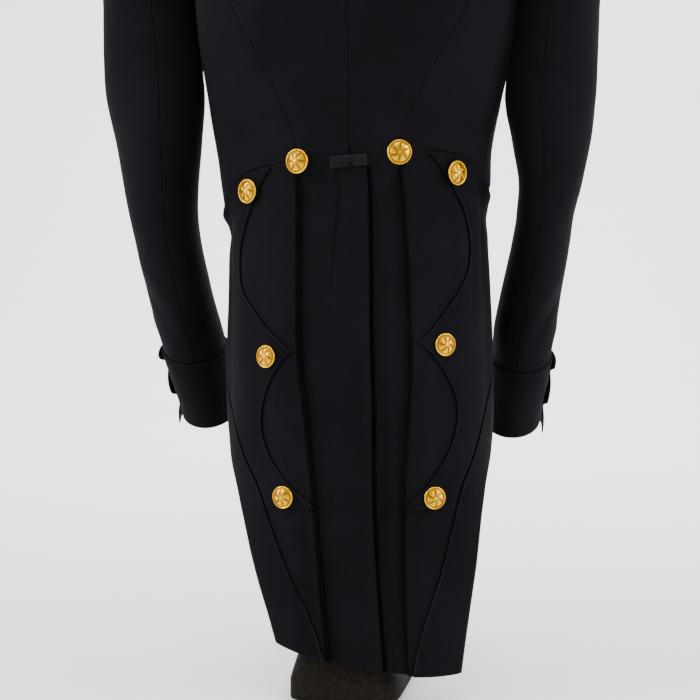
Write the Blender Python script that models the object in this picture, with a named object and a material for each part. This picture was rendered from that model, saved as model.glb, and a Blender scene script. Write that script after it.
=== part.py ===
"""A military tailcoat of dark broadcloth on a limbless dress form and its stand.

The wearer faces +Y, so the back of the coat faces -Y and the wearer's right is +X. Sizes are in
millimetres and become metres when a mesh is made. Every cloth panel is a wall whose outer face
is a grid of points on one of three surfaces: the bodice, the skirt and the sleeve.
"""

import math

import bmesh
import bpy
import numpy as np

MM = 0.001
FLOOR_Z = -10.0      # height of the floor, from the zero of the heights below

# Cloth
CLOTH = 2.0          # thickness of a panel
TRIM_CLOTH = 1.8     # thickness of a piece that lies on a panel
SEAM = 0.3           # space between two pieces at a seam
LAID = 0.9           # space under a piece that lies on a curved panel
EDGE_SEAMS = (0, 0, SEAM / 2, SEAM / 2)   # a panel with a seam along each side edge
CENTRE = 0.0         # angle of the centre back line
FRONT = 180.0        # angle of the centre front line


def eased(t):
    """0 below 0, 1 above 1, and a soft ramp between."""
    t = np.clip(t, 0.0, 1.0)
    return t * t * (3 - 2 * t)


class Table:
    """Rows of named columns, read smoothly along the first column."""

    def __init__(self, names, *rows):
        self.names = names.split()
        self.rows = np.array(rows, float)

    def at(self, name, key):
        """The column's value at a key, on a curve that never passes its rows' values."""
        keys = self.rows[:, 0]
        values = self.rows[:, self.names.index(name)]
        slopes = np.diff(values) / np.diff(keys)
        bends = np.concatenate([slopes[:1], (slopes[1:] + slopes[:-1]) / 2, slopes[-1:]])
        turning = slopes[1:] * slopes[:-1] <= 0
        bends[1:-1][turning] = 0.0
        key = np.clip(key, keys[0], keys[-1])
        row = np.clip(np.searchsorted(keys, key, side="right") - 1, 0, len(keys) - 2)
        span = keys[row + 1] - keys[row]
        t = (key - keys[row]) / span
        rise = t * t * (3 - 2 * t)
        lead = t * (1 - t) ** 2 * span * bends[row]
        trail = t * t * (1 - t) * span * bends[row + 1]
        return values[row] + (values[row + 1] - values[row]) * rise + lead - trail


# The bodice, from the waist seam (0) to the neck seam (1). Each row is a ring: the heights of
# its centre back, side and centre front, its half width, its depths behind and before the
# middle of the body, how square it is, and how late its height leaves the centre line's.
BODICE = Table(
    "level back_z side_z front_z half_width back_depth front_depth square late",
    (0.00, 535, 491, 497, 137, 104, 104, 2.30, 6.0),
    (0.10, 569, 537, 539, 141, 104, 110, 2.30, 5.0),
    (0.22, 617, 597, 597, 151, 110, 121, 2.30, 4.0),
    (0.36, 679, 669, 667, 162, 121, 133, 2.35, 3.0),
    (0.49, 745, 751, 739, 168, 128, 137, 2.40, 2.4),
    (0.64, 819, 839, 805, 176, 126, 130, 2.40, 2.2),
    (0.78, 883, 912, 857, 184, 112, 108, 2.30, 2.2),
    (0.86, 915, 937, 881, 146, 100, 88, 2.20, 2.0),
    (0.93, 941, 953, 899, 104, 87, 70, 2.10, 2.0),
    (1.00, 965, 962, 912, 64, 72, 52, 2.00, 2.0),
)

# The skirt's rings by height: half width, depths and squareness, as on the bodice.
SKIRT = Table(
    "z half_width back_depth front_depth square",
    (20, 125.5, 107, 106, 2.30),
    (100, 130, 109, 108, 2.30),
    (207, 133, 112, 109, 2.30),
    (293, 136, 114, 110, 2.30),
    (350, 134, 115, 109, 2.30),
    (437, 131, 113, 106, 2.30),
    (491, 132.5, 108, 104, 2.30),
    (535, 137, 104, 104, 2.30),
)
HEM_Z = 26.0           # hem at the centre back
HEM_RISE = 8.0         # rise of the hem at the front corners
HEM_HALF = 98.0        # half width between the hem's front corners
WAIST_BLEND = 30.0     # length below the waist seam in which the skirt leaves the bodice's ring
TUCK = 3.5             # how far the skirt draws in just below the waist seam at the sides
TUCK_LENGTH = 12.0
TUCK_HOLD = 0.6        # share of the blend after which the tuck lets go

# How the coat sits on its form, by height: sideways sway, rise of the cloth per millimetre to
# the wearer's right, and how far it twists, as sideways travel per millimetre behind the middle.
SIT = Table(
    "z sway rise twist",
    (20, 16.5, -0.160, 0.035),
    (110, 10.0, -0.080, 0.040),
    (207, 6.0, 0.010, 0.040),
    (280, 4.8, 0.048, 0.040),
    (350, 4.0, 0.073, 0.024),
    (467, 2.6, 0.085, 0.005),
    (500, 1.8, 0.0865, 0.000),
    (535, 0.0, 0.088, 0.000),
    (657, 0.0, 0.000, 0.000),
    (1100, 0.0, 0.000, 0.000),
)

# Seams of the bodice
SEAM_WAIST = 18.0      # angle of the side-back seam at the waist, under the hip button
SEAM_CURVE = 1.6       # how late the side-back seam bends out to the armhole
SIDE_FRONT = 100.0     # angle of the underarm seam
ARM_ANGLE = 92.0       # the armhole's middle, its half width and its half height
ARM_SPREAD = 25.0
ARM_LEVEL = 0.635
ARM_RISE = 0.145
STEP = 15              # degrees between two points of the armhole
PHI_TOP = 90
PHI_FRONT = 0
PHI_SIDE_BACK = 195    # where the side-back seam meets the armhole
PHI_UNDERARM = 285     # where the underarm seam meets it
PHI_FRONT_SEAM = -15   # the sleeve's front seam
LAP_ANGLE = 187.0      # edge of the left front, past the centre front
LAP_LIFT = 3.2         # how far the left front lies over the right one
LAP_FROM = 166.0


def signed_power(value, power):
    return np.sign(value) * np.abs(value) ** power


def ring(angle, half_width, back_depth, front_depth, square):
    """A point of a ring, by its angle from the centre back."""
    s = np.sin(np.radians(angle))
    c = np.cos(np.radians(angle))
    depth = np.where(c > 0, back_depth, front_depth)
    return half_width * signed_power(s, 2 / square), -depth * signed_power(c, 2 / square)


def angle_at(x, half_width, square):
    """The angle on a ring's back half whose point is x from the centre line."""
    part = np.clip(np.abs(x) / half_width, 0.0, 1.0) ** (square / 2)
    return np.sign(x) * np.degrees(np.arcsin(part))


def settle(points):
    """The points as the coat sits on its form."""
    x, y, z = points[..., 0], points[..., 1], points[..., 2]
    aside = SIT.at("sway", z) - SIT.at("twist", z) * y
    return np.stack([x + aside, y, z + SIT.at("rise", z) * x], axis=-1)


def bodice(angle, level):
    """A point of the bodice's outer face on the wearer's right."""
    s = np.abs(np.sin(np.radians(angle)))
    c = np.cos(np.radians(angle))
    x, y = ring(
        angle,
        BODICE.at("half_width", level),
        BODICE.at("back_depth", level),
        BODICE.at("front_depth", level),
        BODICE.at("square", level),
    )
    middle_z = np.where(c > 0, BODICE.at("back_z", level), BODICE.at("front_z", level))
    z = middle_z + (BODICE.at("side_z", level) - middle_z) * s ** BODICE.at("late", level)
    return np.stack([x, y, z], axis=-1)


def skirt(angle, fall):
    """A point of the skirt's outer face, from the waist seam (0) to the hem (1)."""
    seam = bodice(angle, 0.0)
    hem_z = HEM_Z + HEM_RISE * np.clip(np.abs(seam[..., 0]) / HEM_HALF, 0.0, 1.0) ** 2
    z = seam[..., 2] + (hem_z - seam[..., 2]) * fall
    below = seam[..., 2] - z
    blend = eased(below / WAIST_BLEND)
    sides = np.sin(np.radians(angle)) ** 2
    tuck = TUCK * eased(below / TUCK_LENGTH) * (1 - eased(below / WAIST_BLEND - TUCK_HOLD)) * sides
    sizes = [
        BODICE.at(name, 0.0) * (1 - blend) + SKIRT.at(name, z) * blend
        for name in ("half_width", "back_depth", "front_depth", "square")
    ]
    x, y = ring(angle, sizes[0] - tuck, sizes[1], sizes[2], sizes[3])
    return np.stack([x, y, z], axis=-1)


def mirrored(points, side):
    """The points on the wearer's right (+1) or left (-1)."""
    return points * np.array([side, 1.0, 1.0])


def normals(grid, wraps=False):
    """Outward unit normals of a grid whose rows run down and columns to the front."""
    down = np.gradient(grid, axis=0)
    if wraps:
        across = np.roll(grid, -1, axis=1) - np.roll(grid, 1, axis=1)
    else:
        across = np.gradient(grid, axis=1)
    cross = np.cross(down, across)
    return cross / np.linalg.norm(cross, axis=-1, keepdims=True)


def moved(grid, distance, side=1, wraps=False):
    """A grid moved out along its normals by a distance in millimetres."""
    distance = np.asarray(distance, float)
    if distance.ndim:
        distance = distance[..., None]
    return grid + normals(grid, wraps) * side * distance


def drawn_in(grid, first_row=0.0, last_row=0.0, first_column=0.0, last_column=0.0):
    """A grid whose edges are drawn in along its own lines."""
    out = grid.copy()

    def pull(edge, inner, distance):
        away = inner - edge
        return edge + away / np.linalg.norm(away, axis=-1, keepdims=True) * distance

    if first_row:
        out[0] = pull(grid[0], grid[1], first_row)
    if last_row:
        out[-1] = pull(grid[-1], grid[-2], last_row)
    if first_column:
        out[:, 0] = pull(out[:, 0], out[:, 1], first_column)
    if last_column:
        out[:, -1] = pull(out[:, -1], out[:, -2], last_column)
    return out


def material(name, colour, roughness, metallic=0.0):
    made = bpy.data.materials.new(name)
    made.use_nodes = True
    shader = made.node_tree.nodes["Principled BSDF"]
    shader.inputs["Base Color"].default_value = (*colour, 1.0)
    shader.inputs["Roughness"].default_value = roughness
    shader.inputs["Metallic"].default_value = metallic
    return made


def add_object(name, points, faces, finish, smooth_angle=40.0):
    """An object of its own from points in millimetres."""
    mesh = bpy.data.meshes.new(name)
    above_floor = np.array(points) - np.array([0.0, 0.0, FLOOR_Z])
    mesh.from_pydata((above_floor * MM).tolist(), [], faces)
    work = bmesh.new()
    work.from_mesh(mesh)
    bmesh.ops.recalc_face_normals(work, faces=work.faces)
    work.to_mesh(mesh)
    work.free()
    mesh.shade_smooth()
    mesh.set_sharp_from_angle(angle=math.radians(smooth_angle))
    mesh.materials.append(material(name, *finish))
    thing = bpy.data.objects.new(name, mesh)
    bpy.context.collection.objects.link(thing)
    return thing


def wall(name, outer, thickness, finish, side=1, wraps=False, draw=(0, 0, 0, 0), spare=(0, 0, 0, 0)):
    """A closed cloth wall behind a grid of outer points, and around it where it wraps.

    draw is how far the first and last row and the first and last column are drawn in. Spare
    rows and columns, in the same order, lie past the wall's edge on the next piece, so that
    both pieces turn the same way at their seam.
    """
    inner = moved(outer, -thickness, side, wraps)
    rows, columns = outer.shape[:2]
    kept = (slice(spare[0], rows - spare[1]), slice(spare[2], columns - spare[3]))
    outer = drawn_in(outer[kept], *draw)
    inner = drawn_in(inner[kept], *draw)
    rows, columns = outer.shape[:2]
    points = np.concatenate([outer.reshape(-1, 3), inner.reshape(-1, 3)])
    behind = rows * columns

    def spot(row, column, skin=0):
        return skin * behind + row * columns + column % columns

    faces = []
    spans = columns if wraps else columns - 1
    for row in range(rows - 1):
        for column in range(spans):
            a, b = spot(row, column), spot(row, column + 1)
            c, d = spot(row + 1, column + 1), spot(row + 1, column)
            for skin in (0, behind):
                faces += [(a + skin, b + skin, c + skin), (a + skin, c + skin, d + skin)]
    rims = [[(row, column) for column in range(spans + 1)] for row in (0, rows - 1)]
    if not wraps:
        rims += [[(row, column) for row in range(rows)] for column in (0, columns - 1)]
    for rim in rims:
        for here, there in zip(rim[:-1], rim[1:]):
            faces.append((spot(*here), spot(*there), spot(*there, 1), spot(*here, 1)))
    return add_object(name, points, faces, finish)


# Finishes
BROADCLOTH = ((0.0072, 0.0068, 0.0092), 0.85)
GILT = ((0.85, 0.45, 0.04), 0.32, 1.0)
FORM_COVER = ((0.46, 0.42, 0.36), 0.88)
STAND_FINISH = ((0.013, 0.010, 0.008), 0.45)

SIDES = (("right", 1), ("left", -1))


def armhole(phi):
    """Angle and level of a point on the armhole: 0 is its front, 90 its top."""
    turn = np.radians(phi)
    return ARM_ANGLE + ARM_SPREAD * np.cos(turn), ARM_LEVEL + ARM_RISE * np.sin(turn)


def side_back(level):
    """Angle of the side-back seam."""
    end_angle, end_level = armhole(PHI_SIDE_BACK)
    t = np.clip(np.asarray(level) / end_level, 0.0, 1.0)
    return SEAM_WAIST + (end_angle - SEAM_WAIST) * t ** SEAM_CURVE


BODY_LEVELS = np.array([0.0, 0.05, 0.12, 0.22, 0.33, 0.45])   # rows from the waist up
SHOULDER_LEVELS = np.array([1.0, 0.93, 0.86])                 # rows above the armhole

# The centre tails and the pleats, by distance below the waist seam: how far the left tail
# laps past the centre, how far the right one runs under it, the pleat's place from the
# centre, how far the tail runs on under the pleat, and how deep it lies.
TAIL = Table(
    "below lap underlap pleat run_on sunk",
    (0, 0.0, 0.0, 49.8, 0.0, 0.0),
    (9, 0.0, 0.0, 49.8, 0.0, 1.0),
    (11.5, 17.5, 8.0, 49.8, 0.0, 1.6),
    (30, 17.5, 11.0, 50.5, 0.0, 5.4),
    (75, 17.0, 17.0, 52.0, 15.0, 5.6),
    (185, 15.0, 27.0, 54.5, 16.0, 5.6),
    (283, 14.0, 30.0, 47.5, 16.0, 5.6),
    (328, 13.5, 30.0, 44.5, 16.0, 5.6),
    (495, 15.0, 30.0, 39.0, 16.0, 5.6),
)
TAIL_ROWS = (9, 11.5, 20, 30, 50, 75, 115, 160, 210, 260, 310, 360, 410, 455)
BACK_COLUMNS = 6
LAP_UNDER = 2.6        # how far the right tail lies under the left one
UNDER_FROM = -26.0     # distance below the waist at which it starts to sink
UNDER_TO = 4.0
UNDER_EDGE = (22.0, 44.0)   # it comes level again between these places from the centre


def fall_of(below):
    """The skirt's own 0 to 1 for a distance below the waist seam, on the way to the hem."""
    return np.asarray(below, float) / (BODICE.at("back_z", 0.0) - HEM_Z)


def back_grid(side):
    """The back and its tail, cut in one: rows from the neck seam down to the hem."""
    rows = []
    depths = []
    phis = np.arange(PHI_TOP, PHI_SIDE_BACK + 1, STEP)
    levels = [(v, ARM_ANGLE) for v in SHOULDER_LEVELS]
    levels += [(armhole(phi)[1], armhole(phi)[0]) for phi in phis]
    levels += [(v, side_back(v)) for v in BODY_LEVELS[::-1]]
    share = np.linspace(0, 1, BACK_COLUMNS + 1)
    share = np.concatenate([[-share[1]], share, [1 + share[1]]])
    for level, edge in levels:
        angles = CENTRE + (edge - CENTRE) * share
        rows.append(bodice(angles, level))
        below = BODICE.at("back_z", 0.0) - rows[-1][:, 2]
        depths.append(sunk(side, rows[-1][:, 0], below))
    lap = "lap" if side < 0 else "underlap"
    for below in (*TAIL_ROWS, BODICE.at("back_z", 0.0) - HEM_Z):
        start = -TAIL.at(lap, below)
        end = TAIL.at("pleat", below) + TAIL.at("run_on", below)
        z = BODICE.at("back_z", 0.0) - below
        blend = eased(below / WAIST_BLEND)
        width = BODICE.at("half_width", 0.0) * (1 - blend) + SKIRT.at("half_width", z) * blend
        x = start + (end - start) * share
        rows.append(skirt(angle_at(x, width, BODICE.at("square", 0.0)), fall_of(below)))
        depths.append(sunk(side, x, np.full_like(x, below)))
    return np.array(rows), np.array(depths)


def sunk(side, x, below):
    """How deep the tail lies below the skirt's surface."""
    depth = TAIL.at("sunk", below)
    if side > 0:
        near = 1 - eased((x - UNDER_EDGE[0]) / (UNDER_EDGE[1] - UNDER_EDGE[0]))
        depth = depth + LAP_UNDER * near * eased((below - UNDER_FROM) / (UNDER_TO - UNDER_FROM))
    return depth


def make_backs():
    for word, side in SIDES:
        grid, depths = back_grid(side)
        grid = settle(moved(mirrored(grid, side), -depths, side))
        wall(f"back_{word}", grid, CLOTH, BROADCLOTH, side, draw=EDGE_SEAMS, spare=(0, 0, 1, 1))


def side_grid():
    """The side body, between the side-back seam, the armhole and the underarm seam."""
    phis = np.arange(PHI_SIDE_BACK, PHI_UNDERARM + 1, STEP)
    share = np.linspace(0, 1, len(phis))
    rows = []
    back_end = armhole(PHI_SIDE_BACK)[1]
    levels = np.concatenate([BODY_LEVELS, [back_end]]) / back_end
    for t in levels[::-1]:
        top_angle, top_level = armhole(phis)
        level = t * top_level
        straight = side_back(level) * (1 - share) + SIDE_FRONT * share
        at_top = side_back(top_level) * (1 - share) + SIDE_FRONT * share
        angle = straight + (top_angle - at_top) * t ** 2
        angle = np.concatenate([[2 * angle[0] - angle[1]], angle, [2 * angle[-1] - angle[-2]]])
        level = np.concatenate([level[:1], level, level[-1:]])
        rows.append(bodice(angle, level))
    rows.append(skirt(angle, SKIRT_FALLS[1]))
    return np.array(rows)


def underarm_levels():
    """Levels of the side body's rows at the underarm seam."""
    back_end = armhole(PHI_SIDE_BACK)[1]
    return np.concatenate([BODY_LEVELS, [back_end]]) / back_end * armhole(PHI_UNDERARM)[1]


def make_side_bodies():
    for word, side in SIDES:
        grid = settle(mirrored(side_grid(), side))
        draw = (SEAM / 2, 0, SEAM / 2, SEAM / 2)
        wall(f"side_{word}", grid, CLOTH, BROADCLOTH, side, draw=draw, spare=(0, 1, 1, 1))


FRONT_COLUMNS = 5


def front_grid(side):
    """A front, from the underarm seam and armhole to the centre front."""
    phis = np.arange(PHI_TOP, PHI_UNDERARM - 360 - 1, -STEP)
    levels = [(v, ARM_ANGLE) for v in SHOULDER_LEVELS]
    levels += [(armhole(phi)[1], armhole(phi)[0]) for phi in phis]
    levels += [(v, SIDE_FRONT) for v in underarm_levels()[::-1][1:]]
    share = np.linspace(0, 1, FRONT_COLUMNS + 1)
    share = np.append(-share[1], share)
    rows = []
    lifts = []
    for level, edge in levels:
        angles = edge + (FRONT - edge) * share
        if side < 0:
            angles = np.append(angles, LAP_ANGLE)
        rows.append(bodice(angles, level))
        lifts.append(LAP_LIFT * eased((angles - LAP_FROM) / (FRONT - 1 - LAP_FROM)))
    rows.append(skirt(angles, SKIRT_FALLS[1]))
    lifts.append(lifts[-1])
    lifts = np.array(lifts) * (side < 0)
    return moved(np.array(rows), lifts)


def make_fronts():
    for word, side in SIDES:
        grid = settle(mirrored(front_grid(side), side))
        wall(f"front_{word}", grid, CLOTH, BROADCLOTH, side, draw=EDGE_SEAMS, spare=(0, 1, 1, 0))


COLLAR_HEIGHT = 58.0
COLLAR_LEAN = 4.0       # how much narrower the collar is at its top
COLLAR_ROWS = (1.0, 0.5, 0.0)


def make_collar():
    behind = np.linspace(CENTRE, ARM_ANGLE, BACK_COLUMNS + 1)
    before = np.linspace(ARM_ANGLE, FRONT, FRONT_COLUMNS + 1)[1:-1]
    half = np.concatenate([behind, before])
    angles = np.concatenate([-half[:0:-1], half])
    seam = settle(bodice(angles, 1.0))
    rows = []
    for share in COLLAR_ROWS:
        lean = 1 - COLLAR_LEAN / np.hypot(seam[:, 0], seam[:, 1]) * share
        up = SEAM + COLLAR_HEIGHT * share
        rows.append(np.stack([seam[:, 0] * lean, seam[:, 1] * lean, seam[:, 2] + up], axis=-1))
    wall("collar", np.array(rows), CLOTH, BROADCLOTH)


# The sleeve's sections from the upper arm down, by the height of their middle: the middle's
# place, the section's size across and front to back, and its lean forward in degrees.
ARM = Table(
    "down x y z across deep lean",
    (0, 211, 0, 697, 88, 116, 0),
    (85, 206, -3, 612, 92, 114, 0),
    (142, 203, -6, 555, 80, 108, 0),
    (190, 201, -7, 507, 69, 102, 8),
    (255, 193, 12, 444, 63, 95, 18),
    (302, 186, 33, 400, 63, 90, 22),
    (360, 177, 60, 339, 65, 87, 23),
    (430, 168, 88, 268, 62, 84, 23),
    (450, 166, 96, 249, 62, 84, 23),
)
ARM_DROP = {1: -8.0, -1: 0.0}       # how much lower the right sleeve hangs
# How much further out each sleeve hangs, and how much more of its width it shows
HANG = {
    1: Table(
        "down out wider",
        (0, -4, -4),
        (50, -5.5, -2.5),
        (90, -6, -1),
        (130, -2.5, -1),
        (172, -1.5, -6),
        (210, -4, -7),
        (235, -4, -4),
        (282, -4.5, -1),
        (325, -5, 1),
        (360, -4, -3),
        (450, -4, -5),
    ),
    -1: Table(
        "down out wider",
        (0, 3.5, 7),
        (60, 2, 10),
        (120, 2, 9),
        (180, 1, 8),
        (230, 3, 5),
        (300, 5, 3.5),
        (360, 2, 1),
        (430, -1, -6),
        (450, -1, -6),
    ),
}
SLEEVE_STAND = 3.5                  # first stretch of the sleeve, straight out of the armhole
CAP_SHARES = (0.12, 0.3, 0.5, 0.75)
ARM_ROWS = (0, 45, 95, 142, 168, 188, 214, 244, 276, 312, 345, 368, 395, 424)
CAP_START = np.array([1.0, 0.0, -0.20])
PIT_START = np.array([0.10, 0.0, -1.0])
CAP_END = np.array([-0.09, 0.0, -1.0])


def arm_section(phi, down, side, bigger=0.0):
    """Points around the sleeve: 90 is outermost and 0 is the front."""
    turn = np.radians(phi)
    lean = np.radians(ARM.at("lean", down))
    spread = (ARM.at("across", down) + HANG[side].at("wider", down)) / 2 + bigger
    deep = ARM.at("deep", down) / 2 + bigger
    x = ARM.at("x", down) + HANG[side].at("out", down) + spread * np.sin(turn)
    y = ARM.at("y", down) + deep * np.cos(turn) * np.cos(lean)
    z = ARM.at("z", down) + deep * np.cos(turn) * np.sin(lean) + ARM_DROP[side]
    return np.stack([x, y, z + 0 * turn], axis=-1)


def sleeve_grid(phi, side):
    """The sleeve from the armhole to just inside the cuff's hem."""
    angle, level = armhole(phi)
    loop = bodice(angle, level)
    around = np.arange(0, 360, STEP)
    hole = bodice(*armhole(around)).mean(axis=0)
    inward = hole - loop
    loop = loop + inward / np.linalg.norm(inward, axis=-1, keepdims=True) * SEAM
    stand = loop + np.array([SLEEVE_STAND, 0.0, 0.0])
    goal = arm_section(phi, 0.0, side)
    reach = np.linalg.norm(goal - stand, axis=-1, keepdims=True)
    top = ((1 + np.sin(np.radians(phi))) / 2)[:, None]
    leave = (CAP_START * top + PIT_START * (1 - top)) * reach
    arrive = CAP_END * reach
    rows = [loop, stand]
    for t in CAP_SHARES:
        rows.append(
            stand * (2 * t**3 - 3 * t**2 + 1)
            + goal * (3 * t**2 - 2 * t**3)
            + leave * (t**3 - 2 * t**2 + t)
            + arrive * (t**3 - t**2)
        )
    rows += [arm_section(phi, down, side) for down in ARM_ROWS]
    return np.array(rows)


def make_sleeves():
    pieces = {
        "upper_sleeve": np.arange(PHI_FRONT_SEAM - STEP, PHI_SIDE_BACK + STEP + 1, STEP)[::-1],
        "under_sleeve": np.arange(PHI_SIDE_BACK - STEP, PHI_FRONT_SEAM + STEP + 361, STEP)[::-1],
    }
    for word, side in SIDES:
        for piece, phis in pieces.items():
            grid = mirrored(sleeve_grid(phis.astype(float), side), side)
            name = f"{piece}_{word}"
            wall(name, grid, CLOTH, BROADCLOTH, side, draw=EDGE_SEAMS, spare=(0, 0, 1, 1))


CUFF_TOP = 360.0
CUFF_END = 430.0
CUFF_ROWS = (CUFF_TOP, 377.0, 393.0, 411.0, CUFF_END)
CUFF_OUT = SEAM + CLOTH + 0.4


def make_cuffs():
    phis = np.arange(0, 360, STEP).astype(float)[::-1]
    for word, side in SIDES:
        rows = [arm_section(phis, down, side, CUFF_OUT) for down in CUFF_ROWS]
        wall(f"cuff_{word}", mirrored(np.array(rows), side), CLOTH, BROADCLOTH, side, True)


# The cuff's slashed flap: a strip on the cuff's outer side with three points to the back
FLAP_START = 362.0
FLAP_LENGTH = 76.0
FLAP_FRONT_PHI = 40.0
FLAP_HOLLOW_PHI = 82.0
FLAP_POINT_PHI = 112.0
FLAP_ROWS = 12
FLAP_COLUMNS = 3
POINT_LIFT = 3.0
POINT_SHARPNESS = 1.6


def cuff_flap_reach(share):
    """How far round the flap goes, from 0 in its hollows to 1 at its three points."""
    return np.abs(np.cos(2 * np.pi * share)) ** POINT_SHARPNESS


def make_cuff_flaps():
    shares = np.linspace(0, 1, FLAP_ROWS + 1)
    for word, side in SIDES:
        rows = []
        for share in shares:
            reach = cuff_flap_reach(share)
            edge = FLAP_HOLLOW_PHI + (FLAP_POINT_PHI - FLAP_HOLLOW_PHI) * reach
            phis = np.linspace(edge, FLAP_FRONT_PHI, FLAP_COLUMNS + 1)
            ramp = np.linspace(1, 0, FLAP_COLUMNS + 1) ** 2
            out = CUFF_OUT + LAID + TRIM_CLOTH
            row = arm_section(phis, FLAP_START + FLAP_LENGTH * share, side, out)
            row[:, 0] += POINT_LIFT * reach * ramp
            rows.append(row)
        wall(f"cuff_flap_{word}", mirrored(np.array(rows), side), TRIM_CLOTH, BROADCLOTH, side)


# The skirts: angle of the cut-away front edge and of the turnback's free edge, by height
EDGES = Table(
    "z front free",
    (30, 44.5, 17.5),
    (71, 49.5, 22.5),
    (128, 58.0, 33.5),
    (176, 65.0, 41.5),
    (210, 72.5, 48.0),
    (238, 84.0, 57.5),
    (275, 94.0, 67.5),
    (307, 101.0, 78.0),
    (350, 108.0, 92.0),
    (407, 118.0, 108.0),
    (491, 132.0, 129.0),
)
SKIRT_FRONT_Z = 493.0
SKIRT_HEM_Z = 41.0
EDGE_STEPS = 6          # rounds in which an edge's height and angle settle
SKIRT_FALLS = (0.0, 0.014, 0.028, 0.06, 0.11, 0.18, 0.26, 0.35, 0.44, 0.53, 0.62, 0.71, 0.8, 0.9, 1.0)
SKIRT_SIDE_COLUMNS = 7
SKIRT_FRONT_ANGLES = (116.0, 132.0)
FOLD_RADIUS = 2.4       # outer radius of the pleat's fold
RETURN_TOP = 3.0        # how far the pleat's cloth goes back under, at the waist and below
RETURN_WIDTH = 14.0
RETURN_FULL = 75.0
NUDGE_ANGLE = 0.25      # steps along the skirt that give its direction at a point
NUDGE_FALL = 0.004


def edge_angle(name, fall):
    """Angle of the skirt's front edge, or of the turnback's free edge, at a fall."""
    z = SKIRT_FRONT_Z + (SKIRT_HEM_Z - SKIRT_FRONT_Z) * fall
    for _ in range(EDGE_STEPS):
        angle = EDGES.at(name, z)
        z = skirt(angle, fall)[..., 2]
    return angle


def skirt_frame(angle, fall):
    """A point of the skirt, its outward normal and the direction to the front."""
    point = skirt(angle, fall)
    across = skirt(angle + NUDGE_ANGLE, fall) - skirt(angle - NUDGE_ANGLE, fall)
    down = skirt(angle, fall + NUDGE_FALL) - skirt(angle, np.maximum(fall - NUDGE_FALL, 0.0))
    cross = np.cross(down, across)
    across = across / np.linalg.norm(across, axis=-1, keepdims=True)
    return point, cross / np.linalg.norm(cross, axis=-1, keepdims=True), across


def pleat_angle(fall, beyond):
    """Angle of the place a distance in front of the pleat's folded edge."""
    below = fall * (BODICE.at("back_z", 0.0) - HEM_Z)
    z = BODICE.at("back_z", 0.0) - below
    blend = eased(below / WAIST_BLEND)
    width = BODICE.at("half_width", 0.0) * (1 - blend) + SKIRT.at("half_width", z) * blend
    return angle_at(TAIL.at("pleat", below) + beyond, width, BODICE.at("square", 0.0))


def skirt_grid():
    """A skirt from the hidden end of its pleat, round the fold, to its front edge."""
    top = np.append(
        np.linspace(SEAM_WAIST, SIDE_FRONT, SKIRT_SIDE_COLUMNS), SKIRT_FRONT_ANGLES
    )
    shares = (top - top[0]) / (top[-1] - top[0])
    rows = []
    for fall in SKIRT_FALLS:
        below = fall * (BODICE.at("back_z", 0.0) - HEM_Z)
        width = RETURN_TOP + (RETURN_WIDTH - RETURN_TOP) * eased(below / RETURN_FULL)
        middle = pleat_angle(fall, SEAM + FOLD_RADIUS)
        point, out, along = skirt_frame(middle, fall)
        core = point - out * FOLD_RADIUS
        end, end_out, _ = skirt_frame(pleat_angle(fall, SEAM + FOLD_RADIUS + width), fall)
        row = [end - end_out * 2 * FOLD_RADIUS]
        for turn in np.radians((180, 135, 90, 45)):
            row.append(core + (out * math.cos(turn) - along * math.sin(turn)) * FOLD_RADIUS)
        edge = edge_angle("front", fall)
        angles = middle + (edge - middle) * shares
        row += list(skirt(angles, fall))
        rows.append(row)
        if fall == 0:
            above = bodice(angles, BODY_LEVELS[1])
            rise = above - skirt(angles, fall)
            rows.insert(0, list(np.array(row[:5]) + rise[0]) + list(above))
    return np.array(rows)


def make_skirts():
    for word, side in SIDES:
        grid = settle(mirrored(skirt_grid(), side))
        wall(f"skirt_{word}", grid, CLOTH, BROADCLOTH, side, draw=(SEAM, 0, 0, 0), spare=(1, 0, 0, 0))


TURNBACK_FALLS = (0.1, 0.2, 0.3, 0.36, 0.42, 0.47, 0.52, 0.57, 0.63, 0.7, 0.8, 0.9, 1.0)
TURNBACK_COLUMNS = 6


def make_turnbacks():
    """The turned-back front edges of the skirts, wider towards the hem."""
    share = np.linspace(0, 1, TURNBACK_COLUMNS + 1)
    for word, side in SIDES:
        rows = []
        for fall in TURNBACK_FALLS:
            start = edge_angle("free", fall)
            rows.append(skirt(start + (edge_angle("front", fall) - start) * share, fall))
        grid = moved(mirrored(np.array(rows), side), LAID + TRIM_CLOTH, side)
        wall(f"turnback_{word}", settle(grid), TRIM_CLOTH, BROADCLOTH, side)


# The skirts' slashed flaps: three points towards the pleats and two hollows between them
FLAP_BOTTOM_Z = 189.0
FLAP_TOP_GAP = 1.5
FLAP_LAID = 1.1         # space under the flap, which lies over the skirt's closest curve
FLAP_POINTS = ((0.0, 76.0), (0.534, 62.0), (1.0, 42.0))   # share of the length, place from centre
HOLLOW_DEPTH = 45.0
HOLLOW_ROUND = 0.8
ROWS_A_HOLLOW = 8
FLAP_OUTER = 88.0
FLAP_CLEAR = 2.5
FLAP_SPANS = 8


def skirt_at(angle, z):
    """A point of the skirt by its height."""
    top = skirt(angle, 0.0)[..., 2]
    bottom = skirt(angle, 1.0)[..., 2]
    return skirt(angle, (top - z) / (top - bottom))


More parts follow.
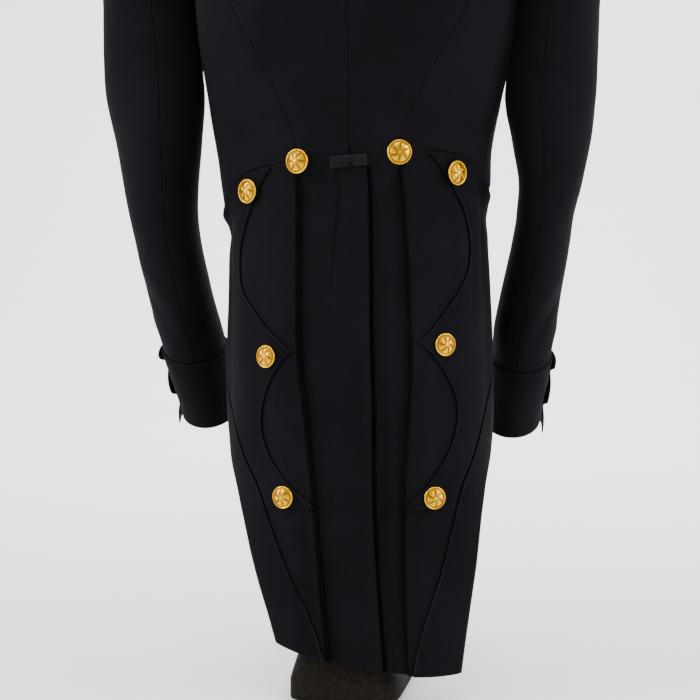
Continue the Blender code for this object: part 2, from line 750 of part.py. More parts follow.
def flap_grid():
    rows = []
    shares = []
    spread = (1 - np.cos(np.pi * np.arange(ROWS_A_HOLLOW + 1) / ROWS_A_HOLLOW)) / 2
    for (start, start_x), (end, end_x) in zip(FLAP_POINTS[:-1], FLAP_POINTS[1:]):
        for part in spread[1 if shares else 0 :]:
            hollow = HOLLOW_DEPTH * max(math.sin(math.pi * part), 0.0) ** HOLLOW_ROUND
            shares.append((start + (end - start) * part, start_x + (end_x - start_x) * part + hollow))
    for share, x in shares:
        level = BODICE.at("back_z", 0.0) + (FLAP_BOTTOM_Z - BODICE.at("back_z", 0.0)) * share
        inner = angle_at(x, SKIRT.at("half_width", level), BODICE.at("square", 0.0))
        outer = FLAP_OUTER
        for _ in range(EDGE_STEPS):
            seam = skirt(outer, 0.0)[..., 2]
            outer = min(FLAP_OUTER, EDGES.at("free", seam + (FLAP_BOTTOM_Z - seam) * share) - FLAP_CLEAR)
        angles = inner + (outer - inner) * np.linspace(0, 1, FLAP_SPANS + 1)
        top = skirt(angles, 0.0)[:, 2] - FLAP_TOP_GAP
        rows.append(skirt_at(angles, top + (FLAP_BOTTOM_Z - top) * share))
    return np.array(rows)


def make_skirt_flaps():
    for word, side in SIDES:
        grid = moved(mirrored(flap_grid(), side), FLAP_LAID + TRIM_CLOTH, side)
        wall(f"skirt_flap_{word}", settle(grid), TRIM_CLOTH, BROADCLOTH, side)


TACK_HALF = 18.0
TACK_HEIGHTS = (536.5, 525.0)
TACK_OUT = 0.8
TACK_POINTS = 7


def make_vent_tack():
    """The stay across the top of the centre vent."""
    x = np.linspace(-TACK_HALF, TACK_HALF, TACK_POINTS)
    width, depth = BODICE.at("half_width", 0.0), BODICE.at("back_depth", 0.0)
    square = BODICE.at("square", 0.0)
    _, y = ring(angle_at(x, width, square), width, depth, depth, square)
    out = y - TACK_OUT - TRIM_CLOTH
    rows = [np.stack([x, out, np.full_like(x, z)], axis=-1) for z in TACK_HEIGHTS]
    wall("vent_tack", settle(np.array(rows)), TRIM_CLOTH, BROADCLOTH)


# Buttons: a turned profile of radius and height as shares of the button's radius
BUTTON_PROFILE = (
    (0.80, 0.00), (1.00, 0.13), (0.93, 0.25), (0.83, 0.21), (0.48, 0.38),
)
BUTTON_CROWN = 0.44
COAT_BUTTON = 12.7      # radii, and points round the rims
CUFF_BUTTON = 7.5
BACK_BUTTON_SIDES = 14
FRONT_BUTTON_SIDES = 12
CUFF_BUTTON_SIDES = 10
BUTTON_SHARP = 25.0     # faces that meet at more than this angle stay sharp
BUTTON_SEAT = 0.8
FRONT_BUTTON_LEVELS = np.linspace(0.06, 0.90, 9)
# Each front button's back, off the lapped edge's nominal face
FRONT_BUTTON_SEATS = (0.6, 0.5, 0.35, 0.3, 0.25, 0.3, 0.4, 0.8, 1.2)
FLAP_BUTTONS = ((101.0, 511.0), (86.5, 345.0), (73.0, 200.0))   # place from centre, height
CUFF_BUTTON_SHARES = (0.13, 0.47, 0.8)
CUFF_BUTTON_PHI = 62.0
CUFF_BUTTON_SPAN = 4.0


def button(name, seat, out, radius, sides):
    """A domed button with a raised rim, its flat back on the seat."""
    out = out / np.linalg.norm(out)
    up = np.array([0.0, 0.0, 1.0])
    across = np.cross(up, out)
    across = across / np.linalg.norm(across)
    up = np.cross(out, across)
    turns = 2 * np.pi * np.arange(sides) / sides
    points = [seat]
    for share, height in BUTTON_PROFILE:
        for turn in turns:
            spoke = across * math.cos(turn) + up * math.sin(turn)
            points.append(seat + spoke * radius * share + out * radius * height)
    points.append(seat + out * radius * BUTTON_CROWN)
    last = len(points) - 1
    faces = []
    for here in range(sides):
        there = (here + 1) % sides
        faces.append((0, 1 + there, 1 + here))
        for step in range(len(BUTTON_PROFILE) - 1):
            low, high = 1 + step * sides, 1 + (step + 1) * sides
            faces.append((low + here, low + there, high + there, high + here))
        top = 1 + (len(BUTTON_PROFILE) - 1) * sides
        faces.append((top + here, top + there, last))
    return add_object(name, points, faces, GILT, BUTTON_SHARP)


def make_buttons():
    lie = LAID + TRIM_CLOTH + BUTTON_SEAT
    for word, side in SIDES:
        turn = np.array([side, 1.0, 1.0])
        point, out, _ = skirt_frame(SEAM_WAIST, 0.0)
        seat = settle(point * turn) + out * turn * (BUTTON_SEAT + SEAM)
        button(f"hip_button_{word}", seat, out * turn, COAT_BUTTON, BACK_BUTTON_SIDES)
        for number, (x, z) in enumerate(FLAP_BUTTONS, 1):
            angle = angle_at(x, SKIRT.at("half_width", z), BODICE.at("square", 0.0))
            top, bottom = skirt(angle, 0.0)[2], skirt(angle, 1.0)[2]
            fall = (top - z) / (top - bottom)
            point, out, _ = skirt_frame(angle, fall)
            seat = settle(point * turn) + out * turn * lie
            button(f"flap_button_{word}_{number}", seat, out * turn, COAT_BUTTON, BACK_BUTTON_SIDES)
        for number, share in enumerate(CUFF_BUTTON_SHARES, 1):
            down = FLAP_START + FLAP_LENGTH * share
            phi = CUFF_BUTTON_PHI + CUFF_BUTTON_SPAN * np.array([0.0, -1.0, 1.0])
            near = mirrored(arm_section(phi, down, side, CUFF_OUT + lie), side)
            chord = near[2] - near[1]
            out = np.cross(chord, [0.0, 0.0, 1.0])
            out = out * np.sign(out[0]) * side
            seat = near[0]
            button(f"cuff_button_{word}_{number}", seat, out, CUFF_BUTTON, CUFF_BUTTON_SIDES)
    for number, (level, seat_off) in enumerate(zip(FRONT_BUTTON_LEVELS, FRONT_BUTTON_SEATS), 1):
        point = bodice(FRONT, level)
        rise = bodice(FRONT, level + 0.02) - bodice(FRONT, level - 0.02)
        out = np.array([0.0, rise[2], -rise[1]])
        out = out / np.linalg.norm(out)
        seat = settle(point) + np.array([0.0, LAP_LIFT, 0.0]) + out * seat_off
        button(f"front_button_{number}", seat, out, COAT_BUTTON, FRONT_BUTTON_SIDES)


# The dress form: how far it stays inside the coat, by the bodice's level
FORM_INSET = Table(
    "level inset",
    (0.0, 16.0),
    (0.1, 13.0),
    (0.3, 9.0),
    (0.74, 9.0),
    (0.8, 8.0),
    (0.87, 4.0),
    (0.93, 3.4),
    (1.0, 5.0),
)
FORM_LEVELS = (0.0, 0.1, 0.22, 0.36, 0.49, 0.64, 0.74, 0.8, 0.86, 0.93, 1.0)
FORM_HIP_FALLS = (0.31, 0.2, 0.1)
FORM_HIP_INSET = 18.0
FORM_BOTTOM_Z = 359.0
FORM_FOOT_RISE = 12.0      # height of the rounded lower edge, and its share of the width
FORM_FOOT_SHARE = 0.92
FORM_COLUMNS = 24
NECK_RINGS = ((991.0, 50.0, 46.0), (1029.0, 49.0, 45.0), (1042.0, 40.0, 36.0))   # z, half sizes
NECK_MIDDLE = -10.0


def make_dress_form():
    """A smooth limbless torso from the hips to the top of the neck."""
    angles = np.arange(FORM_COLUMNS) * 360 / FORM_COLUMNS
    rows = []
    body = np.array([bodice(angles, level) for level in FORM_LEVELS[::-1]])
    insets = np.array([FORM_INSET.at("inset", level) for level in FORM_LEVELS[::-1]])
    body = moved(body, -insets[:, None] * np.ones(FORM_COLUMNS), 1, True)
    hips = np.array([skirt(angles, fall) for fall in FORM_HIP_FALLS[::-1]])
    hips = moved(hips, -FORM_HIP_INSET, 1, True)
    hips[-1, :, 2] = FORM_BOTTOM_Z + FORM_FOOT_RISE
    foot = hips[-1] * np.array([FORM_FOOT_SHARE, FORM_FOOT_SHARE, 1.0])
    foot[:, 2] = FORM_BOTTOM_Z
    for z, half, deep in NECK_RINGS[::-1]:
        x, y = ring(angles, half, deep, deep, 2.0)
        rows.append(np.stack([x, y + NECK_MIDDLE, np.full_like(x, z)], axis=-1))
    rows += list(body) + list(hips) + [foot]
    points = np.array(rows).reshape(-1, 3)
    faces = [tuple(range(FORM_COLUMNS))]
    for row in range(len(rows) - 1):
        for column in range(FORM_COLUMNS):
            there = (column + 1) % FORM_COLUMNS
            low, high = row * FORM_COLUMNS, (row + 1) * FORM_COLUMNS
            faces.append((low + column, low + there, high + there, high + column))
    start = (len(rows) - 1) * FORM_COLUMNS
    faces.append(tuple(range(start, start + FORM_COLUMNS)))
    add_object("dress_form", points, faces, FORM_COVER)


STAND_SHARP = 30.0
POST_RADIUS = 14.0
POST_SIDES = 20
BASE_HEIGHT = 56.0
BASE_HALF = 57.0
BASE_HALF_TOP = 47.0
BASE_BACK = -90.0
BASE_FRONT = 168.0
BASE_SQUARE = 9.0
BASE_TURN = -6.0
BASE_COLUMNS = 40
BASE_ROWS = ((0.0, 0.97), (0.04, 1.0), (0.35, 1.0), (0.4, 0.97), (0.95, 0.0), (1.0, -0.12))


def make_stand():
    """The stand's post and its long flared base."""
    angles = np.arange(BASE_COLUMNS) * 360 / BASE_COLUMNS
    middle = (BASE_BACK + BASE_FRONT) / 2
    reach = (BASE_FRONT - BASE_BACK) / 2
    turn = math.radians(BASE_TURN)
    rows = []
    for height, flare in BASE_ROWS:
        narrow = (BASE_HALF - BASE_HALF_TOP) * (1 - flare)
        x, y = ring(angles, BASE_HALF - narrow, reach - narrow, reach - narrow, BASE_SQUARE)
        y = y + middle
        x, y = x * math.cos(turn) - y * math.sin(turn), x * math.sin(turn) + y * math.cos(turn)
        rows.append(np.stack([x, y, np.full_like(x, FLOOR_Z + height * BASE_HEIGHT)], axis=-1))
    points = np.array(rows).reshape(-1, 3)
    faces = [tuple(range(BASE_COLUMNS))]
    for row in range(len(rows) - 1):
        for column in range(BASE_COLUMNS):
            there = (column + 1) % BASE_COLUMNS
            low, high = row * BASE_COLUMNS, (row + 1) * BASE_COLUMNS
            faces.append((low + column, low + there, high + there, high + column))
    start = (len(rows) - 1) * BASE_COLUMNS
    faces.append(tuple(range(start, start + BASE_COLUMNS)))
    add_object("stand_base", points, faces, STAND_FINISH, STAND_SHARP)
    post = []
    for z in (FLOOR_Z + BASE_HEIGHT + SEAM, FORM_BOTTOM_Z - SEAM):
        for side in range(POST_SIDES):
            spin = 2 * math.pi * side / POST_SIDES
            post.append(np.array([POST_RADIUS * math.cos(spin), POST_RADIUS * math.sin(spin), z]))
    faces = [tuple(range(POST_SIDES)), tuple(range(POST_SIDES, 2 * POST_SIDES))]
    for here in range(POST_SIDES):
        there = (here + 1) % POST_SIDES
        faces.append((here, there, POST_SIDES + there, POST_SIDES + here))
    add_object("stand_post", post, faces, STAND_FINISH, STAND_SHARP)


def clear_scene():
    for thing in list(bpy.data.objects):
        bpy.data.objects.remove(thing, do_unlink=True)


def make_coat():
    make_backs()
    make_side_bodies()
    make_fronts()
    make_collar()
    make_sleeves()
    make_cuffs()
    make_cuff_flaps()
    make_skirts()
    make_turnbacks()
    make_skirt_flaps()
    make_vent_tack()
    make_buttons()


clear_scene()
make_coat()
make_dress_form()
make_stand()
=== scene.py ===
"""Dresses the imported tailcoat: cloth panels with their folds, gilt buttons, form and stand.

The wearer faces +Y. Lengths in the tables are in millimetres, and angles are in degrees.
"""
import math

import bpy
import numpy as np
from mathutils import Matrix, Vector


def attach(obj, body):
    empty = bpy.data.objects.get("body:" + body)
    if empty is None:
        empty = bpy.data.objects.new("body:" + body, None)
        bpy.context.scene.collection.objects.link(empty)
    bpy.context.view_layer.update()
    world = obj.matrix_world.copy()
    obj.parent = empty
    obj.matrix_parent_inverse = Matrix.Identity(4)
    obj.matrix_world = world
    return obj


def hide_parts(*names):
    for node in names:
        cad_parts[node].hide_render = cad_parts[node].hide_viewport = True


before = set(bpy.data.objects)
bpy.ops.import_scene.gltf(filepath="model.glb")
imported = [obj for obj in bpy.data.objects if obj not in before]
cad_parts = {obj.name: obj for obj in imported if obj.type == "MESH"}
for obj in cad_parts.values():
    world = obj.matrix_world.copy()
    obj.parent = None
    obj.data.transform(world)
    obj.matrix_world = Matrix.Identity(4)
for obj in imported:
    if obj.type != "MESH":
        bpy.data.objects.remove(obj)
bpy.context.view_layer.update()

MM = 0.001
FLOOR = np.array([0.0, 0.0, -10.0])      # the floor, from the zero of the heights below

# Cloth
CLOTH = 2.0          # thickness of a panel
TRIM_CLOTH = 1.8     # thickness of a piece that lies on a panel
SEAM = 0.05          # space between two pieces at a seam
LAID = 0.9           # space under a piece that lies on a curved panel
CENTRE = 0.0         # angle of the centre back line
FRONT = 180.0        # angle of the centre front line


def eased(t):
    """0 below 0, 1 above 1, and a soft ramp between."""
    t = np.clip(t, 0.0, 1.0)
    return t * t * (3 - 2 * t)


class Table:
    """Rows of named columns, read smoothly along the first column."""

    def __init__(self, names, *rows):
        self.names = names.split()
        self.rows = np.array(rows, float)

    def at(self, name, key):
        """The column's value at a key, on a curve that never passes its rows' values."""
        keys = self.rows[:, 0]
        values = self.rows[:, self.names.index(name)]
        slopes = np.diff(values) / np.diff(keys)
        bends = np.concatenate([slopes[:1], (slopes[1:] + slopes[:-1]) / 2, slopes[-1:]])
        turning = slopes[1:] * slopes[:-1] <= 0
        bends[1:-1][turning] = 0.0
        key = np.clip(key, keys[0], keys[-1])
        row = np.clip(np.searchsorted(keys, key, side="right") - 1, 0, len(keys) - 2)
        span = keys[row + 1] - keys[row]
        t = (key - keys[row]) / span
        rise = t * t * (3 - 2 * t)
        lead = t * (1 - t) ** 2 * span * bends[row]
        trail = t * t * (1 - t) * span * bends[row + 1]
        return values[row] + (values[row + 1] - values[row]) * rise + lead - trail


# The bodice, from the waist seam (0) to the neck seam (1). Each row is a ring: the heights of
# its centre back, side and centre front, its half width, its depths behind and before the
# middle of the body, how square it is, and how late its height leaves the centre line's.
BODICE = Table(
    "level back_z side_z front_z half_width back_depth front_depth square late",
    (0.00, 535, 491, 497, 137, 104, 104, 2.30, 6.0),
    (0.10, 569, 537, 539, 141, 104, 110, 2.30, 5.0),
    (0.22, 617, 597, 597, 151, 110, 121, 2.30, 4.0),
    (0.36, 679, 669, 667, 162, 121, 133, 2.35, 3.0),
    (0.49, 745, 751, 739, 168, 128, 137, 2.40, 2.4),
    (0.64, 819, 839, 805, 176, 126, 130, 2.40, 2.2),
    (0.78, 883, 912, 857, 184, 112, 108, 2.30, 2.2),
    (0.86, 915, 937, 881, 146, 100, 88, 2.20, 2.0),
    (0.93, 941, 953, 899, 104, 87, 70, 2.10, 2.0),
    (1.00, 965, 962, 912, 64, 72, 52, 2.00, 2.0),
)

# The skirt's rings by height: half width, depths and squareness, as on the bodice.
SKIRT = Table(
    "z half_width back_depth front_depth square",
    (20, 125.5, 107, 106, 2.30),
    (100, 130, 109, 108, 2.30),
    (207, 133, 112, 109, 2.30),
    (293, 136, 114, 110, 2.30),
    (350, 134, 115, 109, 2.30),
    (437, 131, 113, 106, 2.30),
    (491, 132.5, 108, 104, 2.30),
    (535, 137, 104, 104, 2.30),
)
HEM_Z = 26.0           # hem at the centre back
HEM_RISE = 8.0         # rise of the hem at the front corners
HEM_HALF = 98.0        # half width between the hem's front corners
WAIST_BLEND = 30.0     # length below the waist seam in which the skirt leaves the bodice's ring
TUCK = 3.5             # how far the skirt draws in just below the waist seam at the sides
TUCK_LENGTH = 12.0
TUCK_HOLD = 0.6        # share of the blend after which the tuck lets go

# How the coat sits on its form, by height: sideways sway, rise of the cloth per millimetre to
# the wearer's right, and how far it twists, as sideways travel per millimetre behind the middle.
SIT = Table(
    "z sway rise twist",
    (20, 16.5, -0.160, 0.035),
    (110, 10.0, -0.080, 0.040),
    (207, 6.0, 0.010, 0.040),
    (280, 4.8, 0.048, 0.040),
    (350, 4.0, 0.073, 0.024),
    (467, 2.6, 0.085, 0.005),
    (500, 1.8, 0.0865, 0.000),
    (535, 0.0, 0.088, 0.000),
    (657, 0.0, 0.000, 0.000),
    (1100, 0.0, 0.000, 0.000),
)

# Seams of the bodice
SEAM_WAIST = 18.0      # angle of the side-back seam at the waist, under the hip button
SEAM_CURVE = 1.6       # how late the side-back seam bends out to the armhole
SIDE_FRONT = 100.0     # angle of the underarm seam
ARM_ANGLE = 92.0       # the armhole's middle, its half width and its half height
ARM_SPREAD = 25.0
ARM_LEVEL = 0.635
ARM_RISE = 0.145
STEP = 3               # degrees between two points of the armhole
PHI_TOP = 90
PHI_SIDE_BACK = 195    # where the side-back seam meets the armhole
PHI_UNDERARM = 285     # where the underarm seam meets it
PHI_FRONT_SEAM = -15   # the sleeve's front seam
LAP_ANGLE = 187.0      # edge of the left front, past the centre front
LAP_LIFT = 3.2         # how far the left front lies over the right one
LAP_FROM = 166.0       # angles between which it rises to that
LAP_FULL = FRONT - 1


def signed_power(value, power):
    """The power of a value's size, with the value's own sign."""
    return np.sign(value) * np.abs(value) ** power


def ring(angle, half_width, back_depth, front_depth, square):
    """A point of a ring, by its angle from the centre back."""
    s = np.sin(np.radians(angle))
    c = np.cos(np.radians(angle))
    depth = np.where(c > 0, back_depth, front_depth)
    return half_width * signed_power(s, 2 / square), -depth * signed_power(c, 2 / square)


def angle_at(x, half_width, square):
    """The angle on a ring's back half whose point is x from the centre line."""
    part = np.clip(np.abs(x) / half_width, 0.0, 1.0) ** (square / 2)
    return np.sign(x) * np.degrees(np.arcsin(part))


def settle(points):
    """The points as the coat sits on its form."""
    x, y, z = points[..., 0], points[..., 1], points[..., 2]
    aside = SIT.at("sway", z) - SIT.at("twist", z) * y
    return np.stack([x + aside, y, z + SIT.at("rise", z) * x], axis=-1)


def bodice(angle, level):
    """A point of the bodice's outer face on the wearer's right."""
    s = np.abs(np.sin(np.radians(angle)))
    c = np.cos(np.radians(angle))
    x, y = ring(
        angle,
        BODICE.at("half_width", level),
        BODICE.at("back_depth", level),
        BODICE.at("front_depth", level),
        BODICE.at("square", level),
    )
    middle_z = np.where(c > 0, BODICE.at("back_z", level), BODICE.at("front_z", level))
    z = middle_z + (BODICE.at("side_z", level) - middle_z) * s ** BODICE.at("late", level)
    return np.stack([x, y, z], axis=-1)


def skirt(angle, fall):
    """A point of the skirt's outer face, from the waist seam (0) to the hem (1)."""
    seam = bodice(angle, 0.0)
    hem_z = HEM_Z + HEM_RISE * np.clip(np.abs(seam[..., 0]) / HEM_HALF, 0.0, 1.0) ** 2
    z = seam[..., 2] + (hem_z - seam[..., 2]) * fall
    below = seam[..., 2] - z
    blend = eased(below / WAIST_BLEND)
    sides = np.sin(np.radians(angle)) ** 2
    tuck = TUCK * eased(below / TUCK_LENGTH) * (1 - eased(below / WAIST_BLEND - TUCK_HOLD)) * sides
    sizes = [
        BODICE.at(name, 0.0) * (1 - blend) + SKIRT.at(name, z) * blend
        for name in ("half_width", "back_depth", "front_depth", "square")
    ]
    x, y = ring(angle, sizes[0] - tuck, sizes[1], sizes[2], sizes[3])
    return np.stack([x, y, z], axis=-1)


def mirrored(points, side):
    """The points on the wearer's right (+1) or left (-1)."""
    return points * np.array([side, 1.0, 1.0])


def normals(grid, wraps=False):
    """Outward unit normals of a grid whose rows run down and columns to the front."""
    down = np.gradient(grid, axis=0)
    if wraps:
        across = np.roll(grid, -1, axis=1) - np.roll(grid, 1, axis=1)
    else:
        across = np.gradient(grid, axis=1)
    cross = np.cross(down, across)
    return cross / np.linalg.norm(cross, axis=-1, keepdims=True)


def moved(grid, distance, side=1, wraps=False):
    """A grid moved out along its normals by a distance."""
    distance = np.asarray(distance, float)
    if distance.ndim:
        distance = distance[..., None]
    return grid + normals(grid, wraps) * side * distance


SIDES = (("right", 1), ("left", -1))


def armhole(phi):
    """Angle and level of a point on the armhole: 0 is its front, 90 its top."""
    turn = np.radians(phi)
    return ARM_ANGLE + ARM_SPREAD * np.cos(turn), ARM_LEVEL + ARM_RISE * np.sin(turn)


def side_back(level):
    """Angle of the side-back seam."""
    end_angle, end_level = armhole(PHI_SIDE_BACK)
    t = np.clip(np.asarray(level) / end_level, 0.0, 1.0)
    return SEAM_WAIST + (end_angle - SEAM_WAIST) * t ** SEAM_CURVE


BODY_LEVELS = np.linspace(0.0, 0.588, 64)          # rows from the waist up
SHOULDER_LEVELS = np.linspace(1.0, 0.786, 30)      # rows above the armhole

# The centre tails and the pleats, by distance below the waist seam: how far the left tail
# laps past the centre, how far the right one runs under it, the pleat's place from the
# centre, how far the tail runs on under the pleat, and how deep it lies.
TAIL = Table(
    "below lap underlap pleat run_on sunk",
    (0, 0.0, 0.0, 49.8, 0.0, 0.0),
    (9, 0.0, 0.0, 49.8, 0.0, 1.0),
    (11.5, 17.5, 8.0, 49.8, 0.0, 1.6),
    (30, 17.5, 11.0, 50.5, 0.0, 5.4),
    (75, 17.0, 17.0, 52.0, 15.0, 5.6),
    (185, 15.0, 27.0, 54.5, 16.0, 5.6),
    (283, 14.0, 30.0, 47.5, 16.0, 5.6),
    (328, 13.5, 30.0, 44.5, 16.0, 5.6),
    (495, 15.0, 30.0, 39.0, 16.0, 5.6),
)
TAIL_ROWS = (2, 4, 6, 8, 9, 10, 11.5, 14, 17, *range(20, 500, 5))
BACK_COLUMNS = 40
LAP_UNDER = 2.6        # how far the right tail lies under the left one
UNDER_FROM = -26.0     # distance below the waist at which it starts to sink
UNDER_TO = 4.0
UNDER_EDGE = (22.0, 44.0)   # it comes level again between these places from the centre


def fall_of(below):
    """The skirt's own 0 to 1 for a distance below the waist seam, on the way to the hem."""
    return np.asarray(below, float) / (BODICE.at("back_z", 0.0) - HEM_Z)


def back_grid(side):
    """The back and its tail, cut in one: rows from the neck seam down to the hem."""
    rows = []
    depths = []
    phis = np.arange(PHI_TOP, PHI_SIDE_BACK + 1, STEP)
    levels = [(v, ARM_ANGLE) for v in SHOULDER_LEVELS]
    levels += [(armhole(phi)[1], armhole(phi)[0]) for phi in phis]
    levels += [(v, side_back(v)) for v in BODY_LEVELS[::-1]]
    share = np.linspace(0, 1, BACK_COLUMNS + 1)
    share = np.concatenate([[-share[1]], share, [1 + share[1]]])
    for level, edge in levels:
        angles = CENTRE + (edge - CENTRE) * share
        rows.append(bodice(angles, level))
        below = BODICE.at("back_z", 0.0) - rows[-1][:, 2]
        depths.append(sunk(side, rows[-1][:, 0], below))
    lap = "lap" if side < 0 else "underlap"
    for below in (*TAIL_ROWS, BODICE.at("back_z", 0.0) - HEM_Z):
        start = -TAIL.at(lap, below)
        end = TAIL.at("pleat", below) + TAIL.at("run_on", below)
        z = BODICE.at("back_z", 0.0) - below
        blend = eased(below / WAIST_BLEND)
        width = BODICE.at("half_width", 0.0) * (1 - blend) + SKIRT.at("half_width", z) * blend
        x = start + (end - start) * share
        rows.append(skirt(angle_at(x, width, BODICE.at("square", 0.0)), fall_of(below)))
        depths.append(sunk(side, x, np.full_like(x, below)))
    return np.array(rows), np.array(depths)


def sunk(side, x, below):
    """How deep the tail lies below the skirt's surface."""
    depth = TAIL.at("sunk", below)
    if side > 0:
        near = 1 - eased((x - UNDER_EDGE[0]) / (UNDER_EDGE[1] - UNDER_EDGE[0]))
        depth = depth + LAP_UNDER * near * eased((below - UNDER_FROM) / (UNDER_TO - UNDER_FROM))
    return depth


def side_grid():
    """The side body, between the side-back seam, the armhole and the underarm seam."""
    phis = np.arange(PHI_SIDE_BACK, PHI_UNDERARM + 1, STEP)
    share = np.linspace(0, 1, len(phis))
    rows = []
    back_end = armhole(PHI_SIDE_BACK)[1]
    levels = np.concatenate([BODY_LEVELS, [back_end]]) / back_end
    for t in levels[::-1]:
        top_angle, top_level = armhole(phis)
        level = t * top_level
        straight = side_back(level) * (1 - share) + SIDE_FRONT * share
        at_top = side_back(top_level) * (1 - share) + SIDE_FRONT * share
        angle = straight + (top_angle - at_top) * t ** 2
        angle = np.concatenate([[2 * angle[0] - angle[1]], angle, [2 * angle[-1] - angle[-2]]])
        level = np.concatenate([level[:1], level, level[-1:]])
        rows.append(bodice(angle, level))
    rows.append(skirt(angle, SKIRT_FALLS[1]))
    return np.array(rows)


def underarm_levels():
    """Levels of the side body's rows at the underarm seam."""
    back_end = armhole(PHI_SIDE_BACK)[1]
    return np.concatenate([BODY_LEVELS, [back_end]]) / back_end * armhole(PHI_UNDERARM)[1]


FRONT_COLUMNS = 44


def front_grid(side):
    """A front, from the underarm seam and armhole to the centre front."""
    phis = np.arange(PHI_TOP, PHI_UNDERARM - 360 - 1, -STEP)
    levels = [(v, ARM_ANGLE) for v in SHOULDER_LEVELS]
    levels += [(armhole(phi)[1], armhole(phi)[0]) for phi in phis]
    levels += [(v, SIDE_FRONT) for v in underarm_levels()[::-1][1:]]
    share = np.linspace(0, 1, FRONT_COLUMNS + 1)
    share = np.append(-share[1], share)
    rows = []
    lifts = []
    for level, edge in levels:
        angles = edge + (FRONT - edge) * share
        if side < 0:
            angles = np.append(angles, LAP_ANGLE)
        rows.append(bodice(angles, level))
        lifts.append(LAP_LIFT * eased((angles - LAP_FROM) / (LAP_FULL - LAP_FROM)))
    rows.append(skirt(angles, SKIRT_FALLS[1]))
    lifts.append(lifts[-1])
    lifts = np.array(lifts) * (side < 0)
    return moved(np.array(rows), lifts)


# The sleeve's sections from the upper arm down, by the height of their middle: the middle's
# place, the section's size across and front to back, and its lean forward in degrees.
ARM = Table(
    "down x y z across deep lean",
    (0, 211, 0, 697, 88, 116, 0),
    (85, 206, -3, 612, 92, 114, 0),
    (142, 203, -6, 555, 80, 108, 0),
    (190, 201, -7, 507, 69, 102, 8),
    (255, 193, 12, 444, 63, 95, 18),
    (302, 186, 33, 400, 63, 90, 22),
    (360, 177, 60, 339, 65, 87, 23),
    (430, 168, 88, 268, 62, 84, 23),
    (450, 166, 96, 249, 62, 84, 23),
)
ARM_DROP = {1: -8.0, -1: 0.0}       # how much lower the right sleeve hangs
# How much further out each sleeve hangs, and how much more of its width it shows
HANG = {
    1: Table(
        "down out wider",
        (0, -4, -4),
        (50, -5.5, -2.5),
        (90, -6, -1),
        (130, -2.5, -1),
        (172, -1.5, -6),
        (210, -4, -7),
        (235, -4, -4),
        (282, -4.5, -1),
        (325, -5, 1),
        (360, -4, -3),
        (450, -4, -5),
    ),
    -1: Table(
        "down out wider",
        (0, 3.5, 7),
        (60, 2, 10),
        (120, 2, 9),
        (180, 1, 8),
        (230, 3, 5),
        (300, 5, 3.5),
        (360, 2, 1),
        (430, -1, -6),
        (450, -1, -6),
    ),
}
SLEEVE_STAND = 3.5                  # first stretch of the sleeve, straight out of the armhole
CAP_SHARES = np.linspace(0.03, 0.97, 22)
ARM_ROWS = np.arange(0, 425, 4.0)
CAP_START = np.array([1.0, 0.0, -0.20])
PIT_START = np.array([0.10, 0.0, -1.0])
CAP_END = np.array([-0.09, 0.0, -1.0])


def arm_section(phi, down, side, bigger=0.0):
    """Points around the sleeve: 90 is outermost and 0 is the front."""
    turn = np.radians(phi)
    lean = np.radians(ARM.at("lean", down))
    spread = (ARM.at("across", down) + HANG[side].at("wider", down)) / 2 + bigger
    deep = ARM.at("deep", down) / 2 + bigger
    x = ARM.at("x", down) + HANG[side].at("out", down) + spread * np.sin(turn)
    y = ARM.at("y", down) + deep * np.cos(turn) * np.cos(lean)
    z = ARM.at("z", down) + deep * np.cos(turn) * np.sin(lean) + ARM_DROP[side]
    return np.stack([x, y, z + 0 * turn], axis=-1)


def sleeve_grid(phi, side):
    """The sleeve from the armhole to just inside the cuff's hem."""
    angle, level = armhole(phi)
    loop = bodice(angle, level)
    around = np.arange(0, 360, STEP)
    hole = bodice(*armhole(around)).mean(axis=0)
    inward = hole - loop
    loop = loop + inward / np.linalg.norm(inward, axis=-1, keepdims=True) * SEAM
    stand = loop + np.array([SLEEVE_STAND, 0.0, 0.0])
    goal = arm_section(phi, 0.0, side)
    reach = np.linalg.norm(goal - stand, axis=-1, keepdims=True)
    top = ((1 + np.sin(np.radians(phi))) / 2)[:, None]
    leave = (CAP_START * top + PIT_START * (1 - top)) * reach
    arrive = CAP_END * reach
    rows = [loop, stand]
    for t in CAP_SHARES:
        rows.append(
            stand * (2 * t**3 - 3 * t**2 + 1)
            + goal * (3 * t**2 - 2 * t**3)
            + leave * (t**3 - 2 * t**2 + t)
            + arrive * (t**3 - t**2)
        )
    rows += [arm_section(phi, down, side) for down in ARM_ROWS]
    return np.array(rows)


# The skirts: angle of the cut-away front edge and of the turnback's free edge, by height
EDGES = Table(
    "z front free",
    (30, 44.5, 17.5),
    (71, 49.5, 22.5),
    (128, 58.0, 33.5),
    (176, 65.0, 41.5),
    (210, 72.5, 48.0),
    (238, 84.0, 57.5),
    (275, 94.0, 67.5),
    (307, 101.0, 78.0),
    (350, 108.0, 92.0),
    (407, 118.0, 108.0),
    (491, 132.0, 129.0),
)
SKIRT_FRONT_Z = 493.0
SKIRT_HEM_Z = 41.0
EDGE_STEPS = 6          # rounds in which an edge's height and angle settle
SKIRT_FALLS = (0.0, 0.006, 0.014, 0.022, 0.03, *np.arange(0.04, 0.996, 0.01), 1.0)
SKIRT_SIDE_COLUMNS = 44
SKIRT_FRONT_ANGLES = np.linspace(102.0, 132.0, 14)
FOLD_RADIUS = 2.4       # outer radius of the pleat's fold
RETURN_TOP = 3.0        # how far the pleat's cloth goes back under, at the waist and below
RETURN_WIDTH = 14.0
RETURN_FULL = 75.0
RETURN_SHARES = (0.0, 0.35, 0.7)       # points along the hidden return
FOLD_TURNS = np.radians(np.linspace(180, 12, 13))
NUDGE_ANGLE = 0.25      # steps along the skirt that give its direction at a point
NUDGE_FALL = 0.004


